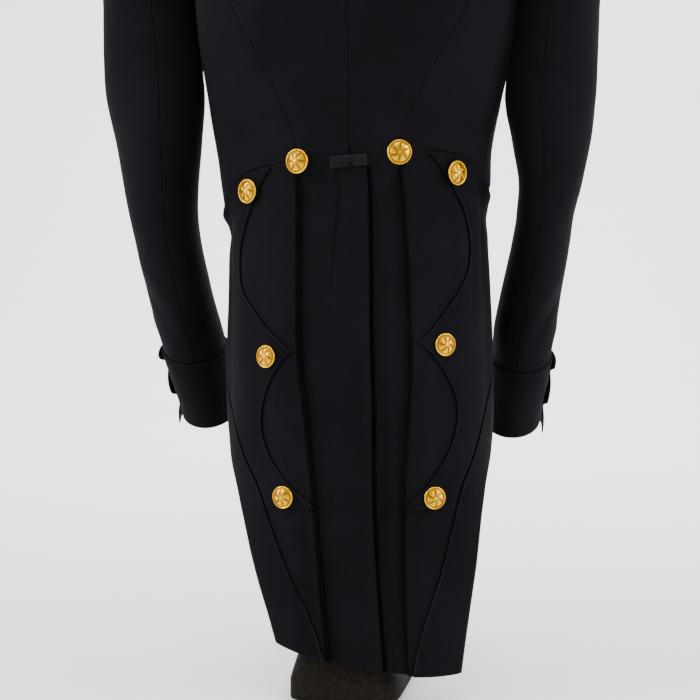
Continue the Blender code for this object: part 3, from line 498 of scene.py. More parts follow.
def edge_angle(name, fall):
    """Angle of the skirt's front edge, or of the turnback's free edge, at a fall."""
    z = SKIRT_FRONT_Z + (SKIRT_HEM_Z - SKIRT_FRONT_Z) * fall
    for _ in range(EDGE_STEPS):
        angle = EDGES.at(name, z)
        z = skirt(angle, fall)[..., 2]
    return angle


def fall_at(angle, z):
    """The skirt's own 0 to 1 for a height."""
    top, bottom = skirt(angle, 0.0)[..., 2], skirt(angle, 1.0)[..., 2]
    return (top - z) / (top - bottom)


def skirt_frame(angle, fall):
    """A point of the skirt, its outward normal and the direction to the front."""
    point = skirt(angle, fall)
    across = skirt(angle + NUDGE_ANGLE, fall) - skirt(angle - NUDGE_ANGLE, fall)
    down = skirt(angle, fall + NUDGE_FALL) - skirt(angle, np.maximum(fall - NUDGE_FALL, 0.0))
    cross = np.cross(down, across)
    across = across / np.linalg.norm(across, axis=-1, keepdims=True)
    return point, cross / np.linalg.norm(cross, axis=-1, keepdims=True), across


def pleat_angle(fall, beyond):
    """Angle of the place a distance in front of the pleat's folded edge."""
    below = fall * (BODICE.at("back_z", 0.0) - HEM_Z)
    z = BODICE.at("back_z", 0.0) - below
    blend = eased(below / WAIST_BLEND)
    width = BODICE.at("half_width", 0.0) * (1 - blend) + SKIRT.at("half_width", z) * blend
    return angle_at(TAIL.at("pleat", below) + beyond, width, BODICE.at("square", 0.0))


def skirt_grid():
    """A skirt from the hidden end of its pleat, round the fold, to its front edge."""
    top = np.append(
        np.linspace(SEAM_WAIST, SIDE_FRONT, SKIRT_SIDE_COLUMNS), SKIRT_FRONT_ANGLES
    )
    shares = (top - top[0]) / (top[-1] - top[0])
    rows = []
    for fall in SKIRT_FALLS:
        below = fall * (BODICE.at("back_z", 0.0) - HEM_Z)
        width = RETURN_TOP + (RETURN_WIDTH - RETURN_TOP) * eased(below / RETURN_FULL)
        middle = pleat_angle(fall, SEAM + FOLD_RADIUS)
        point, out, along = skirt_frame(middle, fall)
        core = point - out * FOLD_RADIUS
        end, end_out, _ = skirt_frame(pleat_angle(fall, SEAM + FOLD_RADIUS + width), fall)
        hidden = end - end_out * 2 * FOLD_RADIUS
        fold = [
            core + (out * math.cos(turn) - along * math.sin(turn)) * FOLD_RADIUS
            for turn in FOLD_TURNS
        ]
        row = [hidden + (fold[0] - hidden) * share for share in RETURN_SHARES] + fold
        edge = edge_angle("front", fall)
        angles = middle + (edge - middle) * shares
        row += list(skirt(angles, fall))
        rows.append(row)
        if fall == 0:
            above = bodice(angles, BODY_LEVELS[1])
            rise = above - skirt(angles, fall)
            rows.insert(0, list(np.array(row[: len(row) - len(angles)]) + rise[0]) + list(above))
    return np.array(rows)


# The skirts' slashed flaps: three points towards the pleats and two hollows between them
FLAP_BOTTOM_Z = 189.0
FLAP_TOP_GAP = 1.5
FLAP_LAID = 1.1         # space under the flap, which lies over the skirt's closest curve
FLAP_POINTS = ((0.0, 76.0), (0.534, 62.0), (1.0, 42.0))   # share of the length, place from centre
HOLLOW_DEPTH = 45.0
HOLLOW_ROUND = 0.8
ROWS_A_HOLLOW = 42
FLAP_OUTER = 88.0
FLAP_CLEAR = 2.5
FLAP_SPANS = 22


def flap_grid():
    """A skirt flap, from its points and hollows to its straight outer edge."""
    rows = []
    shares = []
    spread = (1 - np.cos(np.pi * np.arange(ROWS_A_HOLLOW + 1) / ROWS_A_HOLLOW)) / 2
    for (start, start_x), (end, end_x) in zip(FLAP_POINTS[:-1], FLAP_POINTS[1:]):
        for part in spread[1 if shares else 0 :]:
            hollow = HOLLOW_DEPTH * max(math.sin(math.pi * part), 0.0) ** HOLLOW_ROUND
            shares.append((start + (end - start) * part, start_x + (end_x - start_x) * part + hollow))
    for share, x in shares:
        level = BODICE.at("back_z", 0.0) + (FLAP_BOTTOM_Z - BODICE.at("back_z", 0.0)) * share
        inner = angle_at(x, SKIRT.at("half_width", level), BODICE.at("square", 0.0))
        outer = FLAP_OUTER
        for _ in range(EDGE_STEPS):
            seam = skirt(outer, 0.0)[..., 2]
            outer = min(FLAP_OUTER, EDGES.at("free", seam + (FLAP_BOTTOM_Z - seam) * share) - FLAP_CLEAR)
        angles = inner + (outer - inner) * np.linspace(0, 1, FLAP_SPANS + 1)
        top = skirt(angles, 0.0)[:, 2] - FLAP_TOP_GAP
        rows.append(skirt(angles, fall_at(angles, top + (FLAP_BOTTOM_Z - top) * share)))
    return np.array(rows)


# Folds: where each one starts and ends, as degrees from the centre back and height, its half
# width, how far it stands off the cloth (a trough is below zero) and how far it bows sideways.
BODY_FOLDS = (
    # start angle, start z, end angle, end z, half width, rise, bow
    (-25, 610, -52, 566, 9, 1.7, 4),
    (-30, 596, -60, 548, 7, -1.3, 4),
    (-38, 640, -66, 600, 10, 1.2, 5),
    (-20, 574, -44, 548, 6, -0.9, 2),
    (24, 604, 50, 570, 8, 1.2, -4),
    (30, 588, 58, 552, 6, -0.9, -3),
    (-12, 575, 14, 570, 6, 0.7, 3),
    (-16, 590, 10, 586, 7, -0.6, -3),
    (6, 612, 26, 596, 8, 0.6, 2),
    (-62, 705, -38, 640, 12, 1.1, 6),
    (-70, 690, -52, 628, 9, -1.1, 6),
    (64, 705, 44, 640, 12, 1.0, -6),
    (72, 688, 56, 632, 9, -1.0, -5),
    (-50, 800, -36, 700, 18, 1.1, 5),
    (48, 806, 34, 712, 18, 1.0, -5),
    (-84, 700, -96, 630, 8, -1.1, 3),
    (-98, 692, -112, 600, 10, 1.0, 4),
    (86, 700, 98, 636, 8, -1.1, -3),
    (100, 694, 116, 604, 10, 1.0, -4),
    (-124, 744, -150, 690, 9, -0.9, 5),
    (126, 742, 152, 690, 9, -0.9, -5),
    (-130, 560, -168, 576, 8, 0.9, 4),
    (130, 562, 166, 580, 8, 0.9, 4),
    (-140, 538, -172, 548, 6, -0.8, 3),
    (142, 540, 170, 550, 6, -0.8, 3),
    (-150, 640, -174, 634, 6, -0.6, 2),
    (152, 652, 172, 646, 6, 0.6, 2),
    # the sides, pressed flat by the arms, and the right hip below the waist seam
    (88, 760, 94, 600, 30, 2.4, 0),
    (-88, 740, -94, 630, 26, 1.2, 0),
    (58, 502.5, 142, 501.5, 6, -2.6, 0),
    (58, 484, 130, 478, 11, 1.2, 0),
    # the skirts and tails, which fall in long soft folds
    (-62, 505, -58, 300, 11, 1.6, 5),
    (-72, 490, -70, 250, 9, -1.6, -4),
    (-50, 440, -46, 210, 10, -1.3, 5),
    (-36, 250, -33, 60, 10, 1.4, 3),
    (-26, 230, -25, 45, 7, -1.2, 2),
    (-84, 440, -78, 270, 10, 1.8, 4),
    (58, 500, 55, 320, 10, 1.4, -5),
    (70, 486, 69, 260, 9, -1.5, 4),
    (44, 420, 42, 200, 10, -1.1, -5),
    (34, 260, 31, 55, 10, 1.4, -3),
    (25, 190, 24, 45, 7, -1.0, -2),
    (83, 430, 76, 262, 10, 1.8, -4),
    (94, 460, 92, 340, 9, -1.4, 2),
    (-96, 455, -93, 345, 9, -1.4, -2),
    (-8, 500, -9, 330, 8, 0.7, 3),
    (-13, 420, -12, 120, 9, -1.0, 3),
    (-4, 320, -5, 60, 8, 0.9, -2),
    (12, 470, 13, 250, 7, 0.7, -2),
    (15, 300, 14, 60, 6, -0.8, 2),
    # the hidden edge of the right tail, printed through the left one
    (-5.5, 522, -13.5, 390, 2.4, 0.8, 1),
)
# The same on each sleeve, as degrees round it from its front and height
SLEEVE_FOLDS = {
    1: (
        (272, 760, 272, 590, 22, 2.8, 0),
        (300, 520, 372, 470, 6, -2.0, 5),
        (318, 492, 392, 446, 5, 1.9, 5),
        (322, 470, 398, 424, 5, -2.1, 4),
        (326, 446, 404, 402, 5, 1.5, 4),
        (334, 424, 400, 388, 5, -1.4, 3),
        (150, 560, 200, 500, 10, 1.5, 6),
        (140, 520, 205, 470, 8, -1.3, 5),
        (120, 420, 188, 352, 9, 1.8, 7),
        (110, 398, 170, 338, 7, -1.5, 6),
        (70, 560, 40, 500, 12, 1.2, 6),
        (60, 470, 30, 430, 9, -1.2, 4),
        (96, 660, 104, 560, 14, 1.1, 6),
        (130, 745, 160, 640, 9, 1.3, 6),
        (112, 752, 132, 690, 7, -1.0, 3),
        (150, 742, 184, 660, 8, -1.2, 5),
        (60, 752, 44, 690, 8, 1.0, 4),
        (250, 640, 300, 600, 10, -1.5, 6),
        (200, 640, 262, 604, 9, 1.3, 6),
        (84, 372, 120, 342, 5, 0.9, 2),
    ),
    -1: (
        (270, 740, 270, 640, 20, 1.4, 0),
        (304, 528, 376, 482, 6, -2.0, 4),
        (316, 500, 388, 452, 6, 2.0, 5),
        (320, 476, 396, 432, 5, -2.1, 4),
        (328, 454, 402, 414, 5, 1.6, 5),
        (330, 430, 400, 396, 5, -1.3, 3),
        (152, 566, 206, 512, 10, 1.4, 6),
        (144, 528, 198, 480, 8, -1.4, 5),
        (126, 430, 182, 372, 9, 1.6, 6),
        (112, 408, 166, 352, 7, -1.4, 5),
        (76, 566, 46, 512, 11, 1.3, 6),
        (58, 480, 34, 436, 8, -1.1, 4),
        (98, 664, 92, 556, 14, 1.2, 7),
        (128, 752, 156, 650, 9, 1.3, 5),
        (110, 760, 128, 700, 7, -1.0, 3),
        (148, 750, 180, 664, 8, -1.1, 5),
        (62, 758, 46, 694, 8, 1.0, 4),
        (248, 646, 296, 606, 10, -1.4, 6),
        (204, 650, 258, 612, 9, 1.3, 5),
        (90, 382, 126, 350, 5, 0.9, 2),
    ),
}
BODY_MM = 2.3           # millimetres round the body, and round a sleeve, for each degree
SLEEVE_MM = 0.78
UNEVEN = (              # slow waves that leave no panel quite even: across, along, height
    (0.041, 0.017, 0.30),
    (-0.023, 0.037, 0.26),
    (0.071, -0.029, 0.16),
    (0.015, 0.083, 0.12),
)
WAVE_PHASE = 900.0      # sets the slow waves off against one another
FOLD_NARROW = 0.7       # a fold's width at its start, as a share of the stated one
FOLD_WIDENS = 0.6       # and how much it gains by its end
FADE_IN = 0.06          # how far into its sine a fold starts and ends
FADE_POWER = 0.7
STILL_FROM, STILL_TO = 850.0, 900.0     # heights at which the folds fade at the shoulders
SLEEVE_STILL_FROM, SLEEVE_STILL_TO = 770.0, 830.0


def folds(table, angle, height, scale):
    """How far the cloth stands off its even surface."""
    total = np.zeros(np.broadcast(angle, height).shape)
    for start, start_z, end, end_z, width, rise, bow in table:
        along = np.array([(end - start) * scale, end_z - start_z])
        length = np.hypot(*along)
        along = along / length
        turned = (angle - start + 180) % 360 - 180
        across = turned * scale
        up = height - start_z
        place = (across * along[0] + up * along[1]) / length
        inside = np.clip(place, 0, 1)
        off = across * -along[1] + up * along[0] - bow * 4 * inside * (1 - inside)
        past = np.maximum(np.maximum(-place, place - 1), 0) * length
        wide = width * (FOLD_NARROW + FOLD_WIDENS * inside)
        fade = np.sin(np.pi * (FADE_IN + (1 - 2 * FADE_IN) * inside)) ** FADE_POWER
        total = total + rise * fade * np.exp(-((off / wide) ** 2) - (past / width) ** 2)
    for wave, climb, rise in UNEVEN:
        total = total + rise * np.sin(angle * scale * wave + height * climb + wave * WAVE_PHASE)
    return total


def worn(points):
    """Points of the body's cloth, with its folds."""
    away = points[..., :2] - np.stack([SIT.at("sway", points[..., 2]), 0 * points[..., 2]], axis=-1)
    angle = np.degrees(np.arctan2(away[..., 0], -away[..., 1]))
    rise = folds(BODY_FOLDS, angle, points[..., 2], BODY_MM)
    rise = rise * (1 - eased((points[..., 2] - STILL_FROM) / (STILL_TO - STILL_FROM)))
    away = away / np.linalg.norm(away, axis=-1, keepdims=True)
    return np.concatenate([points[..., :2] + away * rise[..., None], points[..., 2:]], axis=-1)


def worn_sleeve(points, phi, side):
    """Points of a sleeve or cuff, with its folds; each column has its angle round the arm."""
    phi = np.broadcast_to(phi, points.shape[:-1])
    rise = folds(SLEEVE_FOLDS[side], phi, points[..., 2], SLEEVE_MM)
    still = eased((points[..., 2] - SLEEVE_STILL_FROM) / (SLEEVE_STILL_TO - SLEEVE_STILL_FROM))
    rise = rise * (1 - still)
    turn = np.radians(phi)
    away = np.stack([np.sin(turn) * side, np.cos(turn), 0 * turn], axis=-1)
    return points + away * rise[..., None]


# Near an edge the faces of the cloth round over: distance in from the edge, and how far the
# face has fallen there, as a share of the most it falls
EDGE_LINES = ((0.0, 1.0), (0.3, 0.45), (0.8, 0.12), (1.5, 0.0))
EDGE_FALL = 0.40        # most that a face falls at an edge, as a share of the thickness
FAR = 60.0              # distances from an edge are kept up to this


def lines_near_edges(lines, pulls):
    """Lines of points with more of them near the ends, and each line's share of the fall."""
    lines = list(lines)
    shares = [0.0] * len(lines)
    for end, pull in zip((0, -1), pulls):
        if pull is None:
            continue
        here, inner = (lines[0], lines[1]) if end == 0 else (lines[-1], lines[-2])
        step = inner - here
        length = np.linalg.norm(step[..., :3], axis=-1, keepdims=True)
        new = [here + step * np.minimum((d + pull) / length, 0.9) for d, _ in EDGE_LINES]
        falls = [fall for _, fall in EDGE_LINES]
        if end == 0:
            lines[0:1] = new
            shares[0:1] = falls
        else:
            lines[-1:] = new[::-1]
            shares[-1:] = falls[::-1]
    return np.array(lines), np.array(shares)


# Painted shade: dark lines painted where the pleats and tails lie over one another, for the shadow
# between them. How far the middle of each line is from the edge it follows, half its width and how dark it
# is
LEFT_PLEAT_LINE = (1.2, 2.4, 0.85)
RIGHT_PLEAT_LINE = (0.5, 1.7, 0.8)
VENT_LINE = (1.7, 2.4, 0.95)
UNDER_LINE = (0.0, 1.5, 0.45)
WHOLE_LINE = 600.0      # how far below the waist a line ends: past the hem, or just this far
UNDER_LINE_END = 150.0
LINE_FADE = 60.0        # length over which a line fades at its end, and at the waist
LINE_START = 12.0


def painted_pleat_shade(points):
    """How much shade is painted on the cloth in the lines between the pleats and tails."""
    x, y, z = points[..., 0], points[..., 1], points[..., 2]
    z = z - SIT.at("rise", z) * x
    x = x - SIT.at("sway", z) + SIT.at("twist", z) * y
    below = BODICE.at("back_z", 0.0) - z
    shade = np.zeros(x.shape)
    for (offset, half, dark), place, reach in (
        (LEFT_PLEAT_LINE, -x - TAIL.at("pleat", below), WHOLE_LINE),
        (RIGHT_PLEAT_LINE, x - TAIL.at("pleat", below), WHOLE_LINE),
        (VENT_LINE, x - TAIL.at("lap", below), WHOLE_LINE),
        (UNDER_LINE, x + TAIL.at("underlap", below), UNDER_LINE_END),
    ):
        line = dark * np.exp(-(((place - offset) / half) ** 4))
        shade = np.maximum(shade, line * eased((reach - below) / LINE_FADE))
    return shade * eased(below / LINE_START) * (y < 0)


def run_lengths(points, axis):
    """Length from the first line to each point, along the lines."""
    steps = np.linalg.norm(np.diff(points, axis=axis), axis=-1)
    start = np.zeros_like(np.take(steps, [0], axis=axis))
    return np.concatenate([start, np.cumsum(steps, axis=axis)], axis=axis)


def edge_distances(points, free, wraps):
    """Distance of each point from the nearest cut edge and from the nearest seam."""
    down, across = run_lengths(points, 0), run_lengths(points, 1)
    borders = [down, down[-1:] - down]
    if not wraps:
        borders += [across, across[:, -1:] - across]
    near_cut = np.full(down.shape, FAR)
    near_seam = np.full(down.shape, FAR)
    for distance, edge in zip(borders, free):
        near = near_cut if edge else near_seam
        np.minimum(near, distance, out=near)
    return near_cut, near_seam


def shell_faces(rows, columns, wraps, side):
    """Faces of a shell's two skins and its rims, and each face corner's place in the grid.

    A loop that runs to the front and then down looks inwards on the right, so it is turned.
    """
    ring_columns = columns - 1 if wraps else columns
    faces, corners = [], []

    def add_face(loop, forward):
        loop = loop[::-1] if forward == (side > 0) else loop
        faces.append([
            (skin * rows + row) * ring_columns + column % ring_columns for row, column, skin in loop
        ])
        corners.extend(loop)

    for row in range(rows - 1):
        for column in range(columns - 1):
            for skin in (0, 1):
                quad = [(row, column, skin), (row, column + 1, skin)]
                quad += [(row + 1, column + 1, skin), (row + 1, column, skin)]
                add_face(quad, skin == 0)
    rims = [([(0, c) for c in range(columns)], False), ([(rows - 1, c) for c in range(columns)], True)]
    if not wraps:
        rims.append(([(r, 0) for r in range(rows)], True))
        rims.append(([(r, columns - 1) for r in range(rows)], False))
    for rim, forward in rims:
        for here, there in zip(rim[:-1], rim[1:]):
            add_face([(*here, 0), (*there, 0), (*there, 1), (*here, 1)], forward)
    return faces, np.array(corners)


def cloth(name, node, grid, finish, thickness=CLOTH, side=1, *, wraps=False,
          spare=(0, 0, 0, 0), free=(1, 1, 1, 1)):
    """A thin shell of cloth with rounded edges behind a grid of outer points.

    spare is how many rows and columns at the start and end only give the normals. free tells
    for the first and last row and the first and last column whether it is a cut edge (1) or
    is sewn to the next piece (0).
    """
    out = normals(grid, wraps) * side
    rows, columns = grid.shape[:2]
    kept = (slice(spare[0], rows - spare[1]), slice(spare[2], columns - spare[3]))
    data = np.concatenate([grid[kept], out[kept]], axis=-1)
    if wraps:
        data = np.concatenate([data, data[:, :1]], axis=1)
    pulls = [0.0 if edge else SEAM / 2 for edge in free]
    data, down_falls = lines_near_edges(data, pulls[:2])
    data = np.swapaxes(data, 0, 1)
    data, across_falls = lines_near_edges(data, (None, None) if wraps else pulls[2:])
    data = np.swapaxes(data, 0, 1)
    points, out = data[..., :3], data[..., 3:]
    out = out / np.linalg.norm(out, axis=-1, keepdims=True)
    fall = 1 - (1 - down_falls[:, None]) * (1 - across_falls[None, :])
    fall = fall * thickness * EDGE_FALL
    skins = (points - out * fall[..., None], points - out * (thickness - fall)[..., None])

    mesh = bpy.data.meshes.new(name)
    faces, corners = shell_faces(*points.shape[:2], wraps, side)
    shown = slice(0, -1) if wraps else slice(None)
    both = np.concatenate([skin[:, shown].reshape(-1, 3) for skin in skins])
    mesh.from_pydata(((both - FLOOR) * MM).tolist(), [], faces)
    flat_map = np.stack([run_lengths(points, 1), run_lengths(points, 0)], axis=-1) * MM
    layer = mesh.uv_layers.new(name="cloth")
    layer.data.foreach_set("uv", flat_map[corners[:, 0], corners[:, 1]].ravel())
    near_cut, near_seam = edge_distances(points, free, wraps)
    # The third mark is painted shade: darkness along the pleats and the vent, where shadow falls between
    # the layers.
    for label, marks in (("cut_edge", near_cut), ("seam", near_seam), ("painted_shade", painted_pleat_shade(points))):
        values = np.tile(marks[:, shown].ravel(), 2)
        mesh.attributes.new(label, "FLOAT", "POINT").data.foreach_set("value", values)
    mesh.shade_smooth()
    mesh.update()
    thing = bpy.data.objects.new(name, mesh)
    bpy.context.scene.collection.objects.link(thing)
    thing.data.materials.append(finish)
    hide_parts(node)
    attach(thing, "root")


# Finishes

def node_group(name, inputs, outputs):
    """An empty shader group with its sockets: name, kind and, for an input, its value."""
    group = bpy.data.node_groups.new(name, "ShaderNodeTree")
    for label, kind, value in inputs:
        socket = group.interface.new_socket(label, in_out="INPUT", socket_type=kind)
        if value is not None:
            socket.default_value = value
    for label, kind in outputs:
        group.interface.new_socket(label, in_out="OUTPUT", socket_type=kind)
    return group, group.nodes.new("NodeGroupInput"), group.nodes.new("NodeGroupOutput")


def add_node(tree, kind, links=(), **settings):
    """A node with its settings, and its inputs linked or set by name or number."""
    node = tree.nodes.new(kind)
    for key, value in settings.items():
        setattr(node, key, value)
    for key, value in dict(links).items():
        if hasattr(value, "is_output"):
            tree.links.new(value, node.inputs[key])
        else:
            node.inputs[key].default_value = value
    return node


def maths(tree, operation, *values):
    return add_node(tree, "ShaderNodeMath", enumerate(values), operation=operation).outputs[0]


def weighted(tree, *parts):
    """The sum of values, each times its weight."""
    total, *rest = [maths(tree, "MULTIPLY", value, weight) for value, weight in parts]
    for part in rest:
        total = maths(tree, "ADD", total, part)
    return total


def ramp(tree, value, low, high, start=0.0, end=1.0):
    """A value mapped smoothly from between low and high to between start and end."""
    links = {"Value": value, "From Min": low, "From Max": high, "To Min": start, "To Max": end}
    node = add_node(tree, "ShaderNodeMapRange", links, interpolation_type="SMOOTHSTEP")
    return node.outputs["Result"]


def noise(tree, place, scale, detail=2.0, roughness=0.5):
    links = {"Vector": place, "Scale": scale, "Detail": detail, "Roughness": roughness}
    return add_node(tree, "ShaderNodeTexNoise", links).outputs["Fac"]


def waves(tree, place, scale, distortion, **settings):
    links = {"Vector": place, "Scale": scale, "Distortion": distortion, "Detail": 1.0}
    return add_node(tree, "ShaderNodeTexWave", links, **settings).outputs["Fac"]


def bump(tree, height, strength, distance):
    links = {"Height": height, "Strength": strength, "Distance": distance}
    return add_node(tree, "ShaderNodeBump", links).outputs[0]


def mark(tree, name):
    """The value that a piece keeps at its points under a name."""
    return add_node(tree, "ShaderNodeAttribute", attribute_name=name).outputs["Fac"]


def mix_colour(tree, share, first, second):
    """A mix of two colours, each a socket or its red, green and blue."""
    first, second = ((*colour, 1) if isinstance(colour, tuple) else colour for colour in (first, second))
    return add_node(tree, "ShaderNodeMix", {0: share, 6: first, 7: second}, data_type="RGBA").outputs[2]


def make_nap_group():
    """Milled wool: a short nap over a fine twill, slow changes of tone, and lint."""
    group, start, end = node_group(
        "milled_nap",
        (("Weave Map", "NodeSocketVector", None), ("Place", "NodeSocketVector", None)),
        (("Height", "NodeSocketFloat"), ("Tone", "NodeSocketFloat"), ("Lint", "NodeSocketFloat")),
    )
    place, flat = start.outputs["Place"], start.outputs["Weave Map"]
    turned = add_node(group, "ShaderNodeMapping", {"Vector": flat, "Rotation": (0, 0, TWILL_TURN)})
    twill = waves(group, turned.outputs[0], 330.0, 1.5)
    fibre = noise(group, place, 1500.0, 2.0, 0.6)
    felt = noise(group, place, 420.0, 3.0, 0.6)
    lie = noise(group, place, 95.0)
    slow = noise(group, place, 9.0, 3.0, 0.55)
    height = weighted(group, (twill, 0.16), (fibre, 0.5), (felt, 0.75), (lie, 0.8))
    tone = weighted(group, (slow, 0.55), (felt, 0.30), (lie, 0.15))
    lint = ramp(group, noise(group, place, 520.0, 0.0), 0.86, 0.92)
    for label, value in (("Height", height), ("Tone", tone), ("Lint", lint)):
        group.links.new(value, end.inputs[label])
    return group


def make_edge_group():
    """Wear on cut edges, the sunk line of stitches beside them, and the dip at a seam.

    Distances from the edges and seams come in millimetres.
    """
    group, start, end = node_group(
        "cloth_edges",
        (
            ("Cut Edge", "NodeSocketFloat", FAR),
            ("Seam", "NodeSocketFloat", FAR),
            ("Stitch Inset", "NodeSocketFloat", STITCH_INSET),
            ("Place", "NodeSocketVector", None),
        ),
        (("Wear", "NodeSocketFloat"), ("Dip", "NodeSocketFloat")),
    )
    cut, seam, place = start.outputs["Cut Edge"], start.outputs["Seam"], start.outputs["Place"]
    patch = ramp(group, noise(group, place, 45.0, 3.0), 0.35, 0.62, 0.35, 1.0)
    wear = maths(group, "MULTIPLY", ramp(group, cut, 0.2, 2.0, 1.0, 0.0), patch)
    off = maths(group, "ABSOLUTE", maths(group, "SUBTRACT", cut, start.outputs["Stitch Inset"]))
    pucker = ramp(group, noise(group, place, 240.0, 0.0), 0.3, 0.7, 0.4, 1.0)
    line = maths(group, "MULTIPLY", ramp(group, off, 0.0, 0.9, 1.0, 0.0), pucker)
    close = maths(group, "MULTIPLY", ramp(group, seam, 0.0, 2.4, 1.0, 0.0), pucker)
    group.links.new(wear, end.inputs["Wear"])
    group.links.new(maths(group, "MAXIMUM", line, close), end.inputs["Dip"])
    return group


def new_material(name):
    """A material, its nodes, its shader and the place of each point."""
    made = bpy.data.materials.new(name)
    made.use_nodes = True
    tree = made.node_tree
    tree.nodes.clear()
    shader = tree.nodes.new("ShaderNodeBsdfPrincipled")
    output = tree.nodes.new("ShaderNodeOutputMaterial")
    tree.links.new(shader.outputs[0], output.inputs[0])
    return made, tree, shader, add_node(tree, "ShaderNodeTexCoord").outputs["Object"]


def set_shader(tree, shader, **values):
    """Links or sets the shader's inputs by their names, with _ for a space."""
    for label, value in values.items():
        socket = shader.inputs[label.replace("_", " ")]
        if hasattr(value, "is_output"):
            tree.links.new(value, socket)
        else:
            socket.default_value = value


def make_broadcloth(name, dark, light, worn_colour, sheen, stitch_inset):
    """Milled wool broadcloth, dyed in the piece, with painted shade along the pleats and the vent."""
    made, tree, shader, place = new_material(name)
    flat = add_node(tree, "ShaderNodeUVMap", uv_map="cloth").outputs[0]
    nap = add_node(tree, "ShaderNodeGroup", {"Weave Map": flat, "Place": place}, node_tree=NAP).outputs
    links = {"Cut Edge": mark(tree, "cut_edge"), "Seam": mark(tree, "seam"), "Place": place}
    links["Stitch Inset"] = stitch_inset
    edges = add_node(tree, "ShaderNodeGroup", links, node_tree=EDGES_GROUP).outputs
    tone = ramp(tree, nap["Tone"], 0.32, 0.68)
    colour = mix_colour(tree, tone, dark, light)
    colour = mix_colour(tree, maths(tree, "MULTIPLY", edges["Wear"], 0.55), colour, worn_colour)
    colour = mix_colour(tree, maths(tree, "MULTIPLY", nap["Lint"], 0.5), colour, LINT)
    # Painted shade along the pleats and the vent, broken up a little, darkens the colour there.
    broken = ramp(tree, noise(tree, place, 60.0, 3.0), 0.25, 0.5, 0.7, 1.0)
    painted_shade = maths(tree, "MULTIPLY", mark(tree, "painted_shade"), broken)
    colour = mix_colour(tree, painted_shade, colour, PAINTED_SHADE_COLOUR)
    rough = maths(tree, "SUBTRACT", 0.92, maths(tree, "MULTIPLY", tone, 0.12))
    height = maths(tree, "SUBTRACT", nap["Height"], maths(tree, "MULTIPLY", edges["Dip"], 1.1))
    set_shader(tree, shader, Base_Color=colour, Roughness=rough, Normal=bump(tree, height, 0.55, 0.0003),
               Specular_IOR_Level=0.03, Sheen_Weight=sheen, Sheen_Roughness=0.38, Sheen_Tint=SHEEN_TINT)
    return made


def make_gilt():
    """Gilt brass, bright where it stands up and dull in its hollows, with fine scratches."""
    made, tree, shader, place = new_material("gilt_brass")
    mottle = noise(tree, place, 320.0, 4.0, 0.6)
    dirt = ramp(tree, weighted(tree, (mark(tree, "hollow"), 0.8), (mottle, 0.5)), 0.35, 0.95)
    colour = mix_colour(tree, mottle, (0.76, 0.38, 0.003), (0.92, 0.54, 0.008))
    colour = mix_colour(tree, dirt, colour, (0.22, 0.08, 0.004))
    scratches = bump(tree, noise(tree, place, 2400.0), 0.15, 0.0001)
    set_shader(tree, shader, Base_Color=colour, Roughness=ramp(tree, dirt, 0.0, 1.0, 0.3, 0.55),
               Normal=scratches, Metallic=1.0)
    return made


def make_jersey():
    """The form's undyed knitted cover."""
    made, tree, shader, place = new_material("form_jersey")
    rows = waves(tree, place, 190.0, 0.8, bands_direction="Z")
    fuzz = noise(tree, place, 900.0)
    tone = weighted(tree, (noise(tree, place, 12.0, 3.0), 0.7), (fuzz, 0.3))
    colour = mix_colour(tree, ramp(tree, tone, 0.35, 0.65), (0.40, 0.36, 0.30), (0.52, 0.48, 0.41))
    knit = bump(tree, weighted(tree, (rows, 0.5), (fuzz, 1.0)), 0.4, 0.0003)
    set_shader(tree, shader, Base_Color=colour, Roughness=ramp(tree, fuzz, 0.3, 0.7, 0.82, 0.95),
               Normal=knit, Sheen_Weight=0.15, Specular_IOR_Level=0.2)
    return made


def make_stand_finish(name, dark, light, grain_scale, roughness, gloss):
    """Stained wood or satin paint, with grain and fine dust."""
    made, tree, shader, place = new_material(name)
    stretched = add_node(tree, "ShaderNodeMapping", {"Vector": place, "Scale": grain_scale}).outputs[0]
    grain = noise(tree, stretched, 60.0, 5.0, 0.6)
    dust = noise(tree, place, 700.0)
    rough = maths(tree, "ADD", roughness, maths(tree, "MULTIPLY", dust, 0.18))
    set_shader(tree, shader, Base_Color=mix_colour(tree, ramp(tree, grain, 0.35, 0.65), dark, light),
               Roughness=rough, Normal=bump(tree, grain, 0.25, 0.0004), Specular_IOR_Level=gloss)
    return made


TWILL_TURN = 0.9        # slant of the twill, in radians
STITCH_INSET = 2.2      # from a cut edge to the stitches beside it
LINT = (0.05, 0.05, 0.055)
# Colour of the painted shade between the pleats and tails
PAINTED_SHADE_COLOUR = (0.0004, 0.0004, 0.0005)
SHEEN_TINT = (0.62, 0.66, 0.80, 1.0)
NAP = make_nap_group()
EDGES_GROUP = make_edge_group()
DARK_BLUE = make_broadcloth(
    "dark_blue_broadcloth",
    dark=(0.0046, 0.0042, 0.0057),
    light=(0.0068, 0.0063, 0.0083),
    worn_colour=(0.014, 0.014, 0.020),
    sheen=0.035,
    stitch_inset=STITCH_INSET,
)
# The trim cloth is the body's broadcloth set a little darker, as painted shade on the flaps, cuffs, collar
# and turnbacks.
SHADED_TRIM_BLUE = make_broadcloth(
    "dark_blue_trim_cloth_shaded",
    dark=(0.0042, 0.0038, 0.0052),
    light=(0.0063, 0.0058, 0.0077),
    worn_colour=(0.016, 0.016, 0.022),
    sheen=0.03,
    stitch_inset=2.0,
)
TACK_BLUE = make_broadcloth(
    "tack_cloth",
    dark=(0.0068, 0.0065, 0.0088),
    light=(0.0112, 0.0108, 0.014),
    worn_colour=(0.02, 0.02, 0.026),
    sheen=0.045,
    stitch_inset=STITCH_INSET,
)
GILT = make_gilt()
JERSEY = make_jersey()
BASE_FINISH = make_stand_finish(
    "dark_stained_base",
    dark=(0.0096, 0.0078, 0.006),
    light=(0.0168, 0.0136, 0.0104),
    grain_scale=(4, 0.4, 4),
    roughness=0.55,
    gloss=0.03,
)
